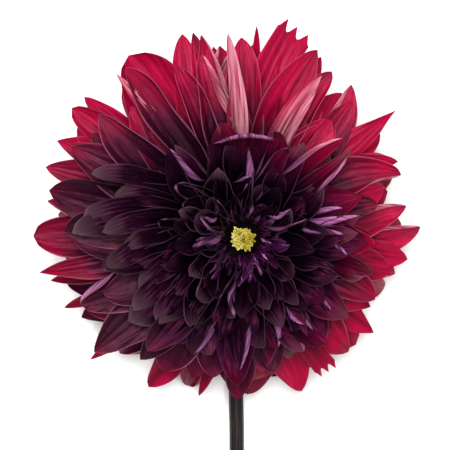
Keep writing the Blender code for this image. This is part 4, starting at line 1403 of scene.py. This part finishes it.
class DAHLIA_OT_stage(bpy.types.Operator):
    """Plain pale floor, plain soft light and a camera that looks straight down on the bloom"""

    bl_idname = "dahlia.stage"
    bl_label = "Stage"

    def execute(self, context):
        stage = context.scene.dahlia_stage
        mesh = bpy.data.meshes.new("floor")
        corners = [(x * FLOOR_HALF, y * FLOOR_HALF, 0.0) for x, y in ((-1, -1), (1, -1), (1, 1), (-1, 1))]
        mesh.from_pydata(corners, [], [(0, 1, 2, 3)])
        mesh.materials.append(pale_floor())
        floor = bpy.data.objects.new("floor", mesh)
        context.scene.collection.objects.link(floor)

        world = bpy.data.worlds.new("studio_room")
        world.use_nodes = True
        room = {"Color": (1.0, 1.0, 1.0, 1.0), "Strength": stage.around}
        set_inputs(world.node_tree, world.node_tree.nodes["Background"], room)
        context.scene.world = world
        for name, kind, place, size, power in (
            ("top_light", "SUN", (0.0, 0.2, 1.2), TOP_LIGHT_ANGLE, stage.top),
            ("left_light", "AREA", (-0.4, 0.45, 1.05), SIDE_LIGHT_SIZE, stage.side),
            ("right_light", "AREA", (0.45, -0.3, 1.05), SIDE_LIGHT_SIZE, stage.side * RIGHT_SHARE),
        ):
            lamp = bpy.data.lights.new(name, kind)
            setattr(lamp, "angle" if kind == "SUN" else "size", size)
            lamp.energy = power
            light = bpy.data.objects.new(name, lamp)
            light.location = place
            aim = Vector(place) - Vector((SHIFT[0], SHIFT[1], EYE_HEIGHT))
            light.rotation_euler = aim.to_track_quat("Z", "Y").to_euler()
            context.scene.collection.objects.link(light)

        lens = bpy.data.cameras.new("camera")
        lens.sensor_width = SENSOR_WIDTH
        lens.lens = SENSOR_WIDTH * (stage.camera_height - EYE_HEIGHT) / stage.view_width
        lens.clip_end = VIEW_DEPTH
        camera = bpy.data.objects.new("camera", lens)
        camera.location = (SHIFT[0] + VIEW_SHIFT[0], SHIFT[1] + VIEW_SHIFT[1], stage.camera_height)
        context.scene.collection.objects.link(camera)
        context.scene.camera = camera
        # Colours are shown as they are, so that a saturated crimson isn't paled.
        context.scene.view_settings.view_transform = "Standard"
        return {"FINISHED"}


class DAHLIA_PT_panel(bpy.types.Panel):
    """The sizes and colours, and a button for each group of pieces"""

    bl_idname = "DAHLIA_PT_panel"
    bl_label = "Dahlia"
    bl_space_type = "VIEW_3D"
    bl_region_type = "UI"
    bl_category = "Dahlia"

    def draw(self, context):
        for group in (context.scene.dahlia_sizes, context.scene.dahlia_colours, context.scene.dahlia_stage):
            box = self.layout.box()
            for key in group.__annotations__:
                box.prop(group, key)
        for operator in OPERATORS:
            self.layout.operator(operator.bl_idname)


OPERATORS = (
    DAHLIA_OT_stage,
    DAHLIA_OT_stem,
    DAHLIA_OT_cup,
    DAHLIA_OT_crimson_petals,
    DAHLIA_OT_dark_petals,
    DAHLIA_OT_eye,
)
GROUPS = {
    "dahlia_sizes": DAHLIA_PG_sizes,
    "dahlia_colours": DAHLIA_PG_colours,
    "dahlia_stage": DAHLIA_PG_stage,
}


def register():
    for group in GROUPS.values():
        bpy.utils.register_class(group)
    for name, group in GROUPS.items():
        setattr(bpy.types.Scene, name, bpy.props.PointerProperty(type=group))
    for operator in OPERATORS:
        bpy.utils.register_class(operator)
    bpy.utils.register_class(DAHLIA_PT_panel)


def unregister():
    bpy.utils.unregister_class(DAHLIA_PT_panel)
    for operator in reversed(OPERATORS):
        bpy.utils.unregister_class(operator)
    for name, group in GROUPS.items():
        delattr(bpy.types.Scene, name)
        bpy.utils.unregister_class(group)


def main():
    register()
    bpy.ops.dahlia.stage()
    bpy.ops.dahlia.stem()
    bpy.ops.dahlia.cup()
    bpy.ops.dahlia.crimson_petals()
    bpy.ops.dahlia.dark_petals()
    bpy.ops.dahlia.eye()


if __name__ == "__main__":
    main()
